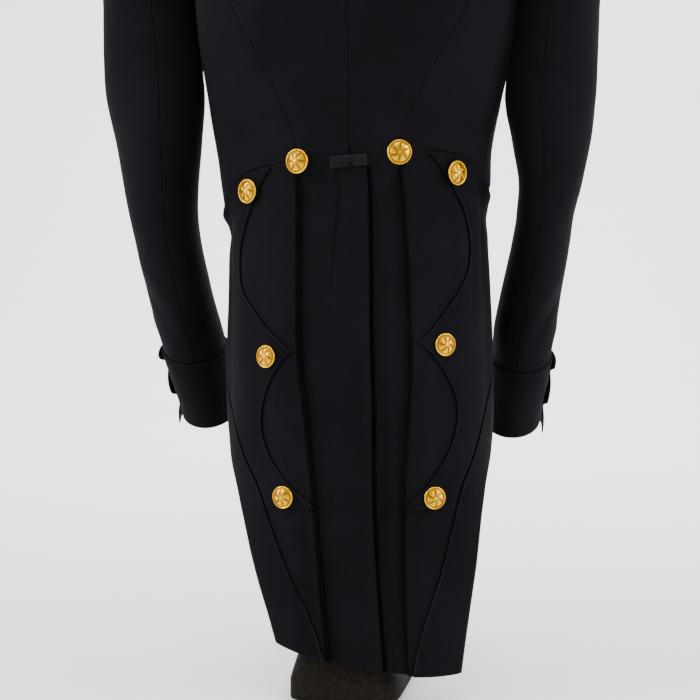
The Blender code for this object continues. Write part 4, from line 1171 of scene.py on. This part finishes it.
POST_FINISH = make_stand_finish(
    "satin_black_post",
    dark=(0.012, 0.012, 0.013),
    light=(0.018, 0.018, 0.019),
    grain_scale=(3, 3, 0.5),
    roughness=0.34,
    gloss=0.4,
)


# The cloth pieces

LAP_CURL = 2.6          # how far the vent's lapped edge rolls outward, and how wide the roll is
LAP_CURL_WIDTH = 11.0
VENT_OPENS_FROM = 14.0  # distances below the waist seam between which the roll sets in
VENT_OPENS_TO = 54.0


def make_backs():
    """The backs with their tails. The left tail's lapped edge rolls outward."""
    for word, side in SIDES:
        grid, depths = back_grid(side)
        if side < 0:
            below = BODICE.at("back_z", 0.0) - grid[:, 1, 2]
            reach = np.linalg.norm(grid - grid[:, 1:2], axis=-1)
            open_vent = eased((below - VENT_OPENS_FROM) / (VENT_OPENS_TO - VENT_OPENS_FROM))[:, None]
            depths = depths - LAP_CURL * (1 - eased(reach / LAP_CURL_WIDTH)) * open_vent
        grid = settle(moved(mirrored(grid, side), -depths, side))
        cloth(f"cloth_back_{word}", f"back_{word}", worn(grid), DARK_BLUE, side=side,
              spare=(0, 0, 1, 1), free=(0, 1, 0, 0))


def make_side_bodies():
    """The side bodies, sewn on all round."""
    for word, side in SIDES:
        grid = worn(settle(mirrored(side_grid(), side)))
        cloth(f"cloth_side_{word}", f"side_{word}", grid, DARK_BLUE, side=side, spare=(0, 1, 1, 1),
              free=(0, 0, 0, 0))


def make_fronts():
    """The fronts, the left one lapped over the right one."""
    for word, side in SIDES:
        grid = worn(settle(mirrored(front_grid(side), side)))
        cloth(f"cloth_front_{word}", f"front_{word}", grid, DARK_BLUE, side=side, spare=(0, 1, 1, 0),
              free=(0, 0, 0, 1))


COLLAR_HEIGHT = 58.0
COLLAR_LEAN = 4.0       # how much narrower the collar is at its top
COLLAR_ROLL = 0.9       # how far its middle stands out
COLLAR_END = 162.4      # angle of its ends at the centre front
COLLAR_BACK_STEP = 2.0
COLLAR_FRONT_COLUMNS = 36
COLLAR_ROWS = 16


def make_collar():
    """The standing collar, from its open top edge down to the neck seam."""
    back = np.arange(CENTRE, ARM_ANGLE, COLLAR_BACK_STEP)
    half = np.concatenate([back, np.linspace(ARM_ANGLE, COLLAR_END, COLLAR_FRONT_COLUMNS)])
    angles = np.concatenate([-half[:0:-1], half])
    seam = settle(bodice(angles, 1.0))
    rows = []
    for share in np.linspace(1, 0, COLLAR_ROWS):
        inward = COLLAR_LEAN * share - COLLAR_ROLL * 4 * share * (1 - share)
        lean = 1 - inward / np.hypot(seam[:, 0], seam[:, 1])
        up = SEAM + COLLAR_HEIGHT * share
        rows.append(np.stack([seam[:, 0] * lean, seam[:, 1] * lean, seam[:, 2] + up], axis=-1))
    cloth("cloth_collar", "collar", np.array(rows), SHADED_TRIM_BLUE, free=(1, 0, 1, 1))


def make_sleeves():
    """The upper and under sleeves, from the armholes to just inside the cuffs' hems."""
    pieces = {
        "upper_sleeve": np.arange(PHI_FRONT_SEAM - STEP, PHI_SIDE_BACK + STEP + 1, STEP)[::-1],
        "under_sleeve": np.arange(PHI_SIDE_BACK - STEP, PHI_FRONT_SEAM + STEP + 361, STEP)[::-1],
    }
    for word, side in SIDES:
        for piece, phis in pieces.items():
            phis = phis.astype(float)
            grid = worn_sleeve(mirrored(sleeve_grid(phis, side), side), phis, side)
            cloth(f"cloth_{piece}_{word}", f"{piece}_{word}", grid, DARK_BLUE, side=side,
                  spare=(0, 0, 1, 1), free=(0, 1, 0, 0))


CUFF_TOP = 360.0
CUFF_END = 430.0
CUFF_CLEAR = 0.4        # more space between the sleeve and its cuff
CUFF_OUT = SEAM + CLOTH + CUFF_CLEAR
CUFF_PHIS = np.arange(0, 360, STEP).astype(float)[::-1]
CUFF_ROWS = 24


def make_cuffs():
    """The cuffs, closed round the sleeves' ends."""
    downs = np.linspace(CUFF_TOP, CUFF_END, CUFF_ROWS)
    for word, side in SIDES:
        rows = [arm_section(CUFF_PHIS, down, side, CUFF_OUT) for down in downs]
        grid = worn_sleeve(mirrored(np.array(rows), side), CUFF_PHIS, side)
        cloth(f"cloth_cuff_{word}", f"cuff_{word}", grid, SHADED_TRIM_BLUE, side=side, wraps=True,
              free=(1, 1, 0, 0))


# The cuff's slashed flap: a strip on the cuff's outer side with three points to the back
FLAP_START = 362.0
FLAP_LENGTH = 76.0
FLAP_FRONT_PHI = 40.0
FLAP_HOLLOW_PHI = 82.0
FLAP_POINT_PHI = 112.0
FLAP_ROWS = 60
FLAP_COLUMNS = 14
POINT_SHARPNESS = 1.6
POINT_LIFT = 3.0        # how far a point stands off its cuff


def make_cuff_flaps():
    """The cuffs' slashed flaps. Their points stand off a little, as in the photo's outline."""
    for word, side in SIDES:
        rows, angles = [], []
        for share in np.linspace(0, 1, FLAP_ROWS + 1):
            # 0 in the flap's hollows and 1 at its three points
            reach = np.abs(np.cos(2 * np.pi * share)) ** POINT_SHARPNESS
            edge = FLAP_HOLLOW_PHI + (FLAP_POINT_PHI - FLAP_HOLLOW_PHI) * reach
            phis = np.linspace(edge, FLAP_FRONT_PHI, FLAP_COLUMNS + 1)
            lift = POINT_LIFT * reach * np.linspace(1, 0, FLAP_COLUMNS + 1) ** 2
            row = arm_section(phis, FLAP_START + FLAP_LENGTH * share, side, CUFF_OUT + LAID + TRIM_CLOTH)
            row[:, 0] += lift
            rows.append(row)
            angles.append(phis)
        grid = worn_sleeve(mirrored(np.array(rows), side), np.array(angles), side)
        cloth(f"cloth_cuff_flap_{word}", f"cuff_flap_{word}", grid, SHADED_TRIM_BLUE, TRIM_CLOTH, side)


def make_skirts():
    """The skirts with their pleats."""
    for word, side in SIDES:
        grid = worn(settle(mirrored(skirt_grid(), side)))
        cloth(f"cloth_skirt_{word}", f"skirt_{word}", grid, DARK_BLUE, side=side, spare=(1, 0, 0, 0),
              free=(0, 1, 1, 1))


TURNBACK_COLUMNS = 26
TURNBACK_FALLS = np.linspace(0.1, 1.0, 100)
TURNBACK_ROLL = 1.6     # how far the folded front edge rolls in, and from which share across
ROLL_FROM = 0.86


def make_turnbacks():
    """The turned-back front edges of the skirts, wider towards the hem."""
    share = np.linspace(0, 1, TURNBACK_COLUMNS + 1)
    for word, side in SIDES:
        rows = []
        for fall in TURNBACK_FALLS:
            start = edge_angle("free", fall)
            rows.append(skirt(start + (edge_angle("front", fall) - start) * share, fall))
        lift = LAID + TRIM_CLOTH - TURNBACK_ROLL * eased((share - ROLL_FROM) / (1 - ROLL_FROM))
        grid = moved(mirrored(np.array(rows), side), lift * np.ones((len(rows), 1)), side)
        cloth(f"cloth_turnback_{word}", f"turnback_{word}", worn(settle(grid)), SHADED_TRIM_BLUE, TRIM_CLOTH, side)


def make_skirt_flaps():
    """The skirts' slashed flaps, sewn in at the waist seam."""
    for word, side in SIDES:
        grid = worn(settle(moved(mirrored(flap_grid(), side), FLAP_LAID + TRIM_CLOTH, side)))
        cloth(f"cloth_skirt_flap_{word}", f"skirt_flap_{word}", grid, SHADED_TRIM_BLUE, TRIM_CLOTH, side,
              free=(0, 1, 1, 1))


TACK_HALF = 18.0
TACK_TOP_Z = 536.5
TACK_BOTTOM_Z = 525.0
TACK_OUT = 0.8          # space under the tack
TACK_CROWN = 0.5        # how far its middle stands out
TACK_ROWS = 13
TACK_COLUMNS = 37


def make_vent_tack():
    """The stay across the top of the centre vent."""
    x = np.linspace(-TACK_HALF, TACK_HALF, TACK_COLUMNS)
    width, depth = BODICE.at("half_width", 0.0), BODICE.at("back_depth", 0.0)
    square = BODICE.at("square", 0.0)
    _, y = ring(angle_at(x, width, square), width, depth, depth, square)
    rows = []
    for share in np.linspace(0, 1, TACK_ROWS):
        out = y - TACK_OUT - TRIM_CLOTH - TACK_CROWN * np.sin(np.pi * share)
        z = TACK_TOP_Z + (TACK_BOTTOM_Z - TACK_TOP_Z) * share
        rows.append(level_ring(x, out, z))
    cloth("cloth_vent_tack", "vent_tack", worn(settle(np.array(rows))), TACK_BLUE, TRIM_CLOTH)


# Modelling by hand: each start is a primitive, drawn up ring by ring

def only(thing):
    """Selects one piece and no other."""
    bpy.ops.object.select_all(action="DESELECT")
    thing.select_set(True)
    bpy.context.view_layer.objects.active = thing


def on_all_of(thing, operator, **settings):
    """Runs an edit mode operator on the whole of a piece."""
    only(thing)
    bpy.ops.object.mode_set(mode="EDIT")
    bpy.ops.mesh.select_all(action="SELECT")
    operator(**settings)
    bpy.ops.object.mode_set(mode="OBJECT")


def points_of(mesh):
    points = np.zeros(len(mesh.vertices) * 3)
    mesh.vertices.foreach_get("co", points)
    return points.reshape(-1, 3)


def put_points(mesh, points):
    """Moves the mesh's points to places in millimetres."""
    mesh.vertices.foreach_set("co", (points * MM).ravel())
    mesh.update()


def draw_up(layers):
    """Extrudes what is selected, one unit for each layer."""
    for _ in range(layers):
        bpy.ops.mesh.extrude_region_move(TRANSFORM_OT_translate={"value": (0, 0, 1)})


def drawn_up(name, rings, finish, floor=FLOOR):
    """A closed solid drawn up from a filled circle, with each layer put on a ring of points."""
    bpy.ops.object.select_all(action="DESELECT")
    bpy.ops.mesh.primitive_circle_add(vertices=len(rings[0]), radius=1.0, fill_type="NGON")
    thing = bpy.context.object
    thing.name = thing.data.name = name
    on_all_of(thing, draw_up, layers=len(rings) - 1)
    points = points_of(thing.data)
    layer = np.rint(points[:, 2]).astype(int)
    place = np.degrees(np.arctan2(points[:, 1], points[:, 0])) % 360
    order = np.rint(place * len(rings[0]) / 360).astype(int) % len(rings[0])
    put_points(thing.data, np.array(rings)[layer, order] - floor)
    on_all_of(thing, bpy.ops.mesh.normals_make_consistent, inside=False)
    thing.data.materials.append(finish)
    return thing


def level_ring(x, y, z):
    """Points that lie level, at one height."""
    return np.stack([x, y, np.full_like(x, z)], axis=-1)


def circle(count):
    """The turns of a circle's points, in radians."""
    return 2 * np.pi * np.arange(count) / count


# The button: radius, height and how much dirt lies there, as shares of the radius
BUTTON_RINGS = (
    (0.72, 0.00, 1.0), (0.96, 0.04, 0.6), (1.00, 0.12, 0.2), (0.99, 0.20, 0.0), (0.95, 0.255, 0.0),
    (0.90, 0.25, 0.1), (0.86, 0.205, 0.9), (0.82, 0.21, 1.0), (0.77, 0.245, 0.5), (0.68, 0.30, 0.2),
    (0.57, 0.35, 0.2), (0.46, 0.385, 0.3), (0.35, 0.412, 0.3), (0.25, 0.425, 0.6), (0.20, 0.425, 0.7),
    (0.12, 0.44, 0.0), (0.04, 0.445, 0.0),
)
BUTTON_UNDER = 2        # rings on the button's under side
BUTTON_SPOKES = 48
PETALS = 6
PETAL_FROM = 0.3
PETAL_TO = 0.75
PETAL_TWIST = 3.2
PETAL_RISE = 0.04
PETAL_STEEP = 1.6       # how steep a petal's sides are, and how deep it is sunk between two
PETAL_SUNK = 0.6
PETAL_DIRT = 0.6
ROPE_FROM = 0.94        # the roped rim: where it is, its rise and its turns
ROPE_ABOVE = 0.15
ROPE_RISE = 0.018
ROPE_TURNS = 24
COAT_BUTTON = 12.3      # radius of a button
LOW_BUTTON = 11.4       # the flaps' middle and lower buttons
CUFF_BUTTON = 7.5


def make_button_pattern():
    """One domed button with a roped rim and a whirled rosette, facing +Z, of radius 1 m."""
    turns = circle(BUTTON_SPOKES)
    rings = []
    for share, height, _ in BUTTON_RINGS:
        lift = 0 * turns
        if PETAL_FROM < share < PETAL_TO:
            band = math.sin(math.pi * (share - PETAL_FROM) / (PETAL_TO - PETAL_FROM))
            petal = np.cos(PETALS * turns + PETAL_TWIST * share) * PETAL_STEEP
            lift = PETAL_RISE * band * np.clip(petal, -PETAL_SUNK, 1)
        if share > ROPE_FROM and height > ROPE_ABOVE:
            lift = ROPE_RISE * np.cos(ROPE_TURNS * turns)
        rings.append(np.stack([np.cos(turns) * share, np.sin(turns) * share, height + lift], axis=-1))
    thing = drawn_up("button_pattern", [points / MM for points in rings], GILT, 0.0)
    x, y, _ = points_of(thing.data).T
    reach = np.hypot(x, y)
    shares, _, marks = np.array(BUTTON_RINGS[BUTTON_UNDER:])[::-1].T
    dirt = np.interp(reach, shares, marks)
    rosette = (reach > PETAL_FROM) & (reach < PETAL_TO)
    between = np.clip(-np.cos(PETALS * np.arctan2(y, x) + PETAL_TWIST * reach), 0, 1)
    dirt = dirt + rosette * PETAL_DIRT * between
    thing.data.attributes.new("hollow", "FLOAT", "POINT").data.foreach_set("value", dirt)
    on_all_of(thing, bpy.ops.mesh.faces_shade_smooth)
    return thing


def place_button(pattern, node, seat, out, radius, spin):
    """A copy of the button on its seat, worn like the cloth it is sewn to."""
    out = out / np.linalg.norm(out)
    level = np.cross([0.0, 0.0, 1.0], out)
    level = level / np.linalg.norm(level)
    up = np.cross(out, level)
    across = level * math.cos(spin) + up * math.sin(spin)
    up = up * math.cos(spin) - level * math.sin(spin)
    thing = pattern.copy()
    thing.data = pattern.data.copy()
    thing.name = thing.data.name = f"gilt_{node}"
    bpy.context.scene.collection.objects.link(thing)
    put_points(thing.data, points_of(thing.data) @ np.array([across, up, out]) * radius + seat - FLOOR)
    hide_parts(node)
    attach(thing, "root")


BUTTON_SEAT = 0.3       # space under a button
FRONT_BUTTON_LEVELS = np.linspace(0.06, 0.90, 9)
NUDGE_LEVEL = 0.02      # steps up and down that give the front's slope at a button
FLAP_BUTTONS = ((101.0, 511.0), (86.5, 345.0), (73.0, 200.0))   # place from centre, height
CUFF_BUTTON_SHARES = (0.13, 0.47, 0.8)
CUFF_BUTTON_PHI = 62.0
CUFF_BUTTON_SPAN = 4.0  # degrees to each side that give the cuff's direction at a button
# How many degrees a button leans to the wearer's side on its shank
BUTTON_LEANS = {
    "hip_button_right": -2,
    "hip_button_left": 12,
    "flap_button_right_1": 6,
    "flap_button_left_1": -2,
}
LEAN_LIFT = 0.8         # how far a leaning button rises, as a share of how far its rim drops
HIP_SPIN = 0.2          # how far a hip button is turned, in radians
FLAP_SPIN = 1.9         # and each other one, from the one before it
CUFF_SPIN = 2.3
FRONT_SPIN = 1.3


def place_leaning(pattern, name, place, side, off, radius, spin):
    """A button on the back, which may lean on its shank. place is its angle and fall."""
    turn = np.array([side, 1.0, 1.0])
    lean = math.radians(BUTTON_LEANS.get(name, 0))
    point, out, _ = skirt_frame(*place)
    lift = off + COAT_BUTTON * abs(math.sin(lean)) * LEAN_LIFT
    seat = worn((settle(point * turn) + out * turn * lift)[None])[0]
    out = (out + math.tan(lean) * np.cross([0.0, 0.0, 1.0], out)) * turn
    place_button(pattern, name, seat, out, radius, spin)


def make_buttons():
    """Two hip buttons, three on each skirt flap and cuff flap, and nine down the left front."""
    pattern = make_button_pattern()
    lie = LAID + TRIM_CLOTH + BUTTON_SEAT
    spin = 0.0
    for word, side in SIDES:
        name = f"hip_button_{word}"
        off = BUTTON_SEAT + SEAM
        place_leaning(pattern, name, (SEAM_WAIST, 0.0), side, off, COAT_BUTTON, HIP_SPIN * side)
        for number, (x, z) in enumerate(FLAP_BUTTONS, 1):
            spin += FLAP_SPIN
            angle = angle_at(x, SKIRT.at("half_width", z), BODICE.at("square", 0.0))
            name = f"flap_button_{word}_{number}"
            radius = LOW_BUTTON if number > 1 else COAT_BUTTON
            place_leaning(pattern, name, (angle, fall_at(angle, z)), side, lie, radius, spin)
        for number, share in enumerate(CUFF_BUTTON_SHARES, 1):
            spin += CUFF_SPIN
            phi = CUFF_BUTTON_PHI + CUFF_BUTTON_SPAN * np.array([0.0, -1.0, 1.0])
            near = arm_section(phi, FLAP_START + FLAP_LENGTH * share, side, CUFF_OUT + lie)
            near = worn_sleeve(mirrored(near, side), phi, side)
            out = np.cross(near[2] - near[1], [0.0, 0.0, 1.0])
            out = out * np.sign(out[0]) * side
            place_button(pattern, f"cuff_button_{word}_{number}", near[0], out, CUFF_BUTTON, spin)
    for number, level in enumerate(FRONT_BUTTON_LEVELS, 1):
        spin += FRONT_SPIN
        rise = bodice(FRONT, level + NUDGE_LEVEL) - bodice(FRONT, level - NUDGE_LEVEL)
        out = np.array([0.0, rise[2], -rise[1]]) / np.hypot(rise[1], rise[2])
        seat = settle(bodice(FRONT, level)) + np.array([0.0, LAP_LIFT, 0.0]) + out * BUTTON_SEAT
        place_button(pattern, f"front_button_{number}", worn(seat[None])[0], out, COAT_BUTTON, spin)
    bpy.data.objects.remove(pattern, do_unlink=True)


# The dress form: how far it stays inside the coat, by the bodice's level
FORM_INSET = Table(
    "level inset",
    (0.0, 16.0),
    (0.1, 13.0),
    (0.3, 9.0),
    (0.74, 9.0),
    (0.8, 8.0),
    (0.87, 4.0),
    (0.93, 3.4),
    (1.0, 5.0),
)
FORM_HIP_FALLS = np.linspace(0.31, 0.03, 12)
FORM_HIP_INSET = 18.0
FORM_BOTTOM_Z = 359.0
FORM_FOOT_RISE = 12.0
FORM_FOOT = ((0.985, 5.0), (0.955, 1.5), (0.90, 0.0))     # share of the width, rise
FORM_COLUMNS = 96
FORM_ROWS = 52
# The neck and the turned cap on it: height and half sizes across and deep
NECK_RINGS = ((991.0, 50.0, 46.0), (1010.0, 49.6, 45.6), (1029.0, 49.0, 45.0), (1036.0, 47.5, 43.5))
NECK_CAP = ((1036.4, 44.0, 40.0), (1036.6, 46.0, 42.0), (1038.5, 47.0, 43.0), (1041.0, 45.0, 41.0),
            (1042.0, 38.0, 34.0), (1042.6, 12.0, 11.0))
NECK_MIDDLE = -10.0
NECK_SQUARE = 2.0
# Angles up to which the faces of the form and stand are smoothed into one another
SMOOTH_TO = {"form_body": 40, "form_neck_cap": 35, "base_block": 32, "post_and_flange": 32}


def neck_rings(table, angles):
    """Rings of the neck or its cap, one for each row of the table."""
    rings = []
    for z, half, deep in table:
        x, y = ring(angles, half, deep, deep, NECK_SQUARE)
        rings.append(level_ring(x, y + NECK_MIDDLE, z))
    return rings


def finished(thing):
    """Smooths a piece of the form or stand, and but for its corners."""
    only(thing)
    bpy.ops.object.shade_smooth_by_angle(angle=math.radians(SMOOTH_TO[thing.name]))
    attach(thing, "root")


def make_dress_form():
    """A smooth limbless torso from the hips to the top of the neck, with a turned neck cap."""
    angles = np.arange(FORM_COLUMNS) * 360 / FORM_COLUMNS
    levels = np.linspace(1.0, 0.0, FORM_ROWS)
    body = np.array([bodice(angles, level) for level in levels])
    insets = np.array([FORM_INSET.at("inset", level) for level in levels])
    body = moved(body, -insets[:, None] * np.ones(FORM_COLUMNS), wraps=True)
    hips = np.array([skirt(angles, fall) for fall in FORM_HIP_FALLS[::-1]])
    hips = moved(hips, -FORM_HIP_INSET, wraps=True)
    hips[-1, :, 2] = FORM_BOTTOM_Z + FORM_FOOT_RISE
    x, y, _ = hips[-1].T
    foot = [level_ring(x * share, y * share, FORM_BOTTOM_Z + rise) for share, rise in FORM_FOOT]
    rings = neck_rings(NECK_RINGS[::-1], angles) + list(body) + list(hips) + foot
    form = drawn_up("form_body", rings[::-1], JERSEY)
    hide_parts("dress_form")
    finished(form)
    finished(drawn_up("form_neck_cap", neck_rings(NECK_CAP, angles), BASE_FINISH))


BASE_HEIGHT = 56.0
BASE_HALF = 57.0
BASE_HALF_TOP = 47.0
BASE_BACK = -90.0
BASE_FRONT = 168.0
BASE_SQUARE = 9.0
BASE_TURN = -6.0
BASE_COLUMNS = 160
# Height and flare as shares of the most, as on the solid, with the corners rounded over
BASE_RINGS = ((0.0, 0.93), (0.02, 0.98), (0.04, 1.0), (0.34, 1.0), (0.36, 0.98), (0.38, 0.93),
              (0.41, 0.90), (0.93, 0.04), (0.97, -0.03), (0.992, -0.2), (1.0, -0.5))
POST_COLUMNS = 64
# Height above the base and radius of the post and the flange at its foot
POST_RINGS = ((0.3, 30.0), (3.2, 31.0), (5.0, 30.0), (6.0, 27.0), (8.0, 18.0), (12.0, 15.4), (20.0, 15.0),
              (22.0, 14.0), (200.0, 14.0), (202.0, 16.5), (203.5, 17.5), (214.0, 17.5), (215.5, 16.5),
              (217.0, 14.0), (312.7, 14.0))


def make_stand():
    """The stand's long flared base, and the post with its foot flange and clamp ring."""
    angles = np.arange(BASE_COLUMNS) * 360 / BASE_COLUMNS
    middle = (BASE_BACK + BASE_FRONT) / 2
    reach = (BASE_FRONT - BASE_BACK) / 2
    turn = math.radians(BASE_TURN)
    rings = []
    for height, flare in BASE_RINGS:
        narrow = (BASE_HALF - BASE_HALF_TOP) * (1 - flare)
        x, y = ring(angles, BASE_HALF - narrow, reach - narrow, reach - narrow, BASE_SQUARE)
        y = y + middle
        across = x * math.cos(turn) - y * math.sin(turn)
        deep = x * math.sin(turn) + y * math.cos(turn)
        rings.append(level_ring(across, deep, FLOOR[2] + height * BASE_HEIGHT))
    base = drawn_up("base_block", rings, BASE_FINISH)
    turns = circle(POST_COLUMNS)
    foot = FLOOR[2] + BASE_HEIGHT
    rings = [
        level_ring(np.cos(turns) * radius, np.sin(turns) * radius, foot + z)
        for z, radius in POST_RINGS
    ]
    post = drawn_up("post_and_flange", rings, POST_FINISH)
    for thing, node in ((base, "stand_base"), (post, "stand_post")):
        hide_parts(node)
        finished(thing)


# The room, in metres, watts and degrees

FLOOR_START = -4.0      # the floor's front edge, its flat run, and the rest up the backdrop
FLOOR_FLAT = 6.0
FLOOR_RUN = 13.0
FLOOR_CURVE = 2.4       # radius of the curve up into the backdrop
FLOOR_WIDE = 14.0
FLOOR_SPANS = 60
FLOOR_DARK = (0.84, 0.84, 0.84)
FLOOR_LIGHT = (0.87, 0.87, 0.87)
DAYLIGHT = (0.84, 0.84, 0.84, 1)
LIGHTS = (
    # name, place, aim, size, power
    ("left_softbox", (-1.9, -0.75, 1.25), (0, 0, 0.7), (0.7, 1.3), 42),
    ("right_softbox", (2.0, -0.6, 1.15), (0, 0, 0.7), (0.7, 1.3), 36),
    ("top_softbox", (0.0, -0.6, 2.4), (0, 0, 0.6), (1.6, 1.2), 28),
    ("far_softbox", (0.3, 2.0, 2.4), (0, 0.6, 0.6), (2.4, 1.4), 48),
    ("backdrop_softbox", (0.0, 1.8, 3.2), (0, 4.2, 0.9), (3.4, 1.6), 260),
)
CAMERA_PLACE = (0.1235, -1.7657, 0.46)
CAMERA_TURN = (86.4, 0.0, 4.0)
CAMERA_LENS = 87.43     # lens and sensor, in millimetres, and the lens's shift
CAMERA_SENSOR = 36.0
CAMERA_SHIFT = (-0.0085, 0.0011)


def make_floor():
    """A pale floor that curves up into a backdrop."""
    bpy.ops.object.select_all(action="DESELECT")
    bpy.ops.mesh.primitive_grid_add(x_subdivisions=1, y_subdivisions=FLOOR_SPANS, size=1.0)
    floor = bpy.context.object
    floor.name = floor.data.name = "floor"
    for point in floor.data.vertices:
        run = (point.co.y + 0.5) * FLOOR_RUN
        past = max(run - FLOOR_FLAT, 0.0)
        bend = min(past / FLOOR_CURVE, math.pi / 2)
        climb = max(past - FLOOR_CURVE * math.pi / 2, 0.0)
        back = FLOOR_START + min(run, FLOOR_FLAT) + FLOOR_CURVE * math.sin(bend)
        point.co = (point.co.x * FLOOR_WIDE, back, FLOOR_CURVE * (1 - math.cos(bend)) + climb)
    floor.data.shade_smooth()
    made, tree, shader, place = new_material("pale_floor")
    speckled = mix_colour(tree, noise(tree, place, 3.0), FLOOR_DARK, FLOOR_LIGHT)
    set_shader(tree, shader, Base_Color=speckled, Roughness=0.9, Specular_IOR_Level=0.1)
    floor.data.materials.append(made)


def make_lights():
    """Even daylight and the soft lights."""
    world = bpy.data.worlds.new("studio")
    world.use_nodes = True
    world.node_tree.nodes["Background"].inputs["Color"].default_value = DAYLIGHT
    world.node_tree.nodes["Background"].inputs["Strength"].default_value = 1.0
    bpy.context.scene.world = world
    for name, place, aim, size, power in LIGHTS:
        lamp = bpy.data.lights.new(name, "AREA")
        lamp.shape = "RECTANGLE"
        lamp.size, lamp.size_y = size
        lamp.energy = power
        thing = bpy.data.objects.new(name, lamp)
        bpy.context.scene.collection.objects.link(thing)
        thing.location = place
        thing.rotation_euler = (Vector(aim) - Vector(place)).to_track_quat("-Z", "Y").to_euler()


def make_camera():
    """The camera, behind the coat and framed as in the photo."""
    view = bpy.data.cameras.new("camera")
    view.lens = CAMERA_LENS
    view.sensor_width = CAMERA_SENSOR
    view.shift_x, view.shift_y = CAMERA_SHIFT
    thing = bpy.data.objects.new("camera", view)
    thing.location = CAMERA_PLACE
    thing.rotation_euler = [math.radians(angle) for angle in CAMERA_TURN]
    bpy.context.scene.collection.objects.link(thing)
    bpy.context.scene.camera = thing


make_floor()
make_lights()
make_camera()
make_dress_form()
make_stand()
make_backs()
make_side_bodies()
make_fronts()
make_collar()
make_sleeves()
make_cuffs()
make_cuff_flaps()
make_skirts()
make_turnbacks()
make_skirt_flaps()
make_vent_tack()
make_buttons()
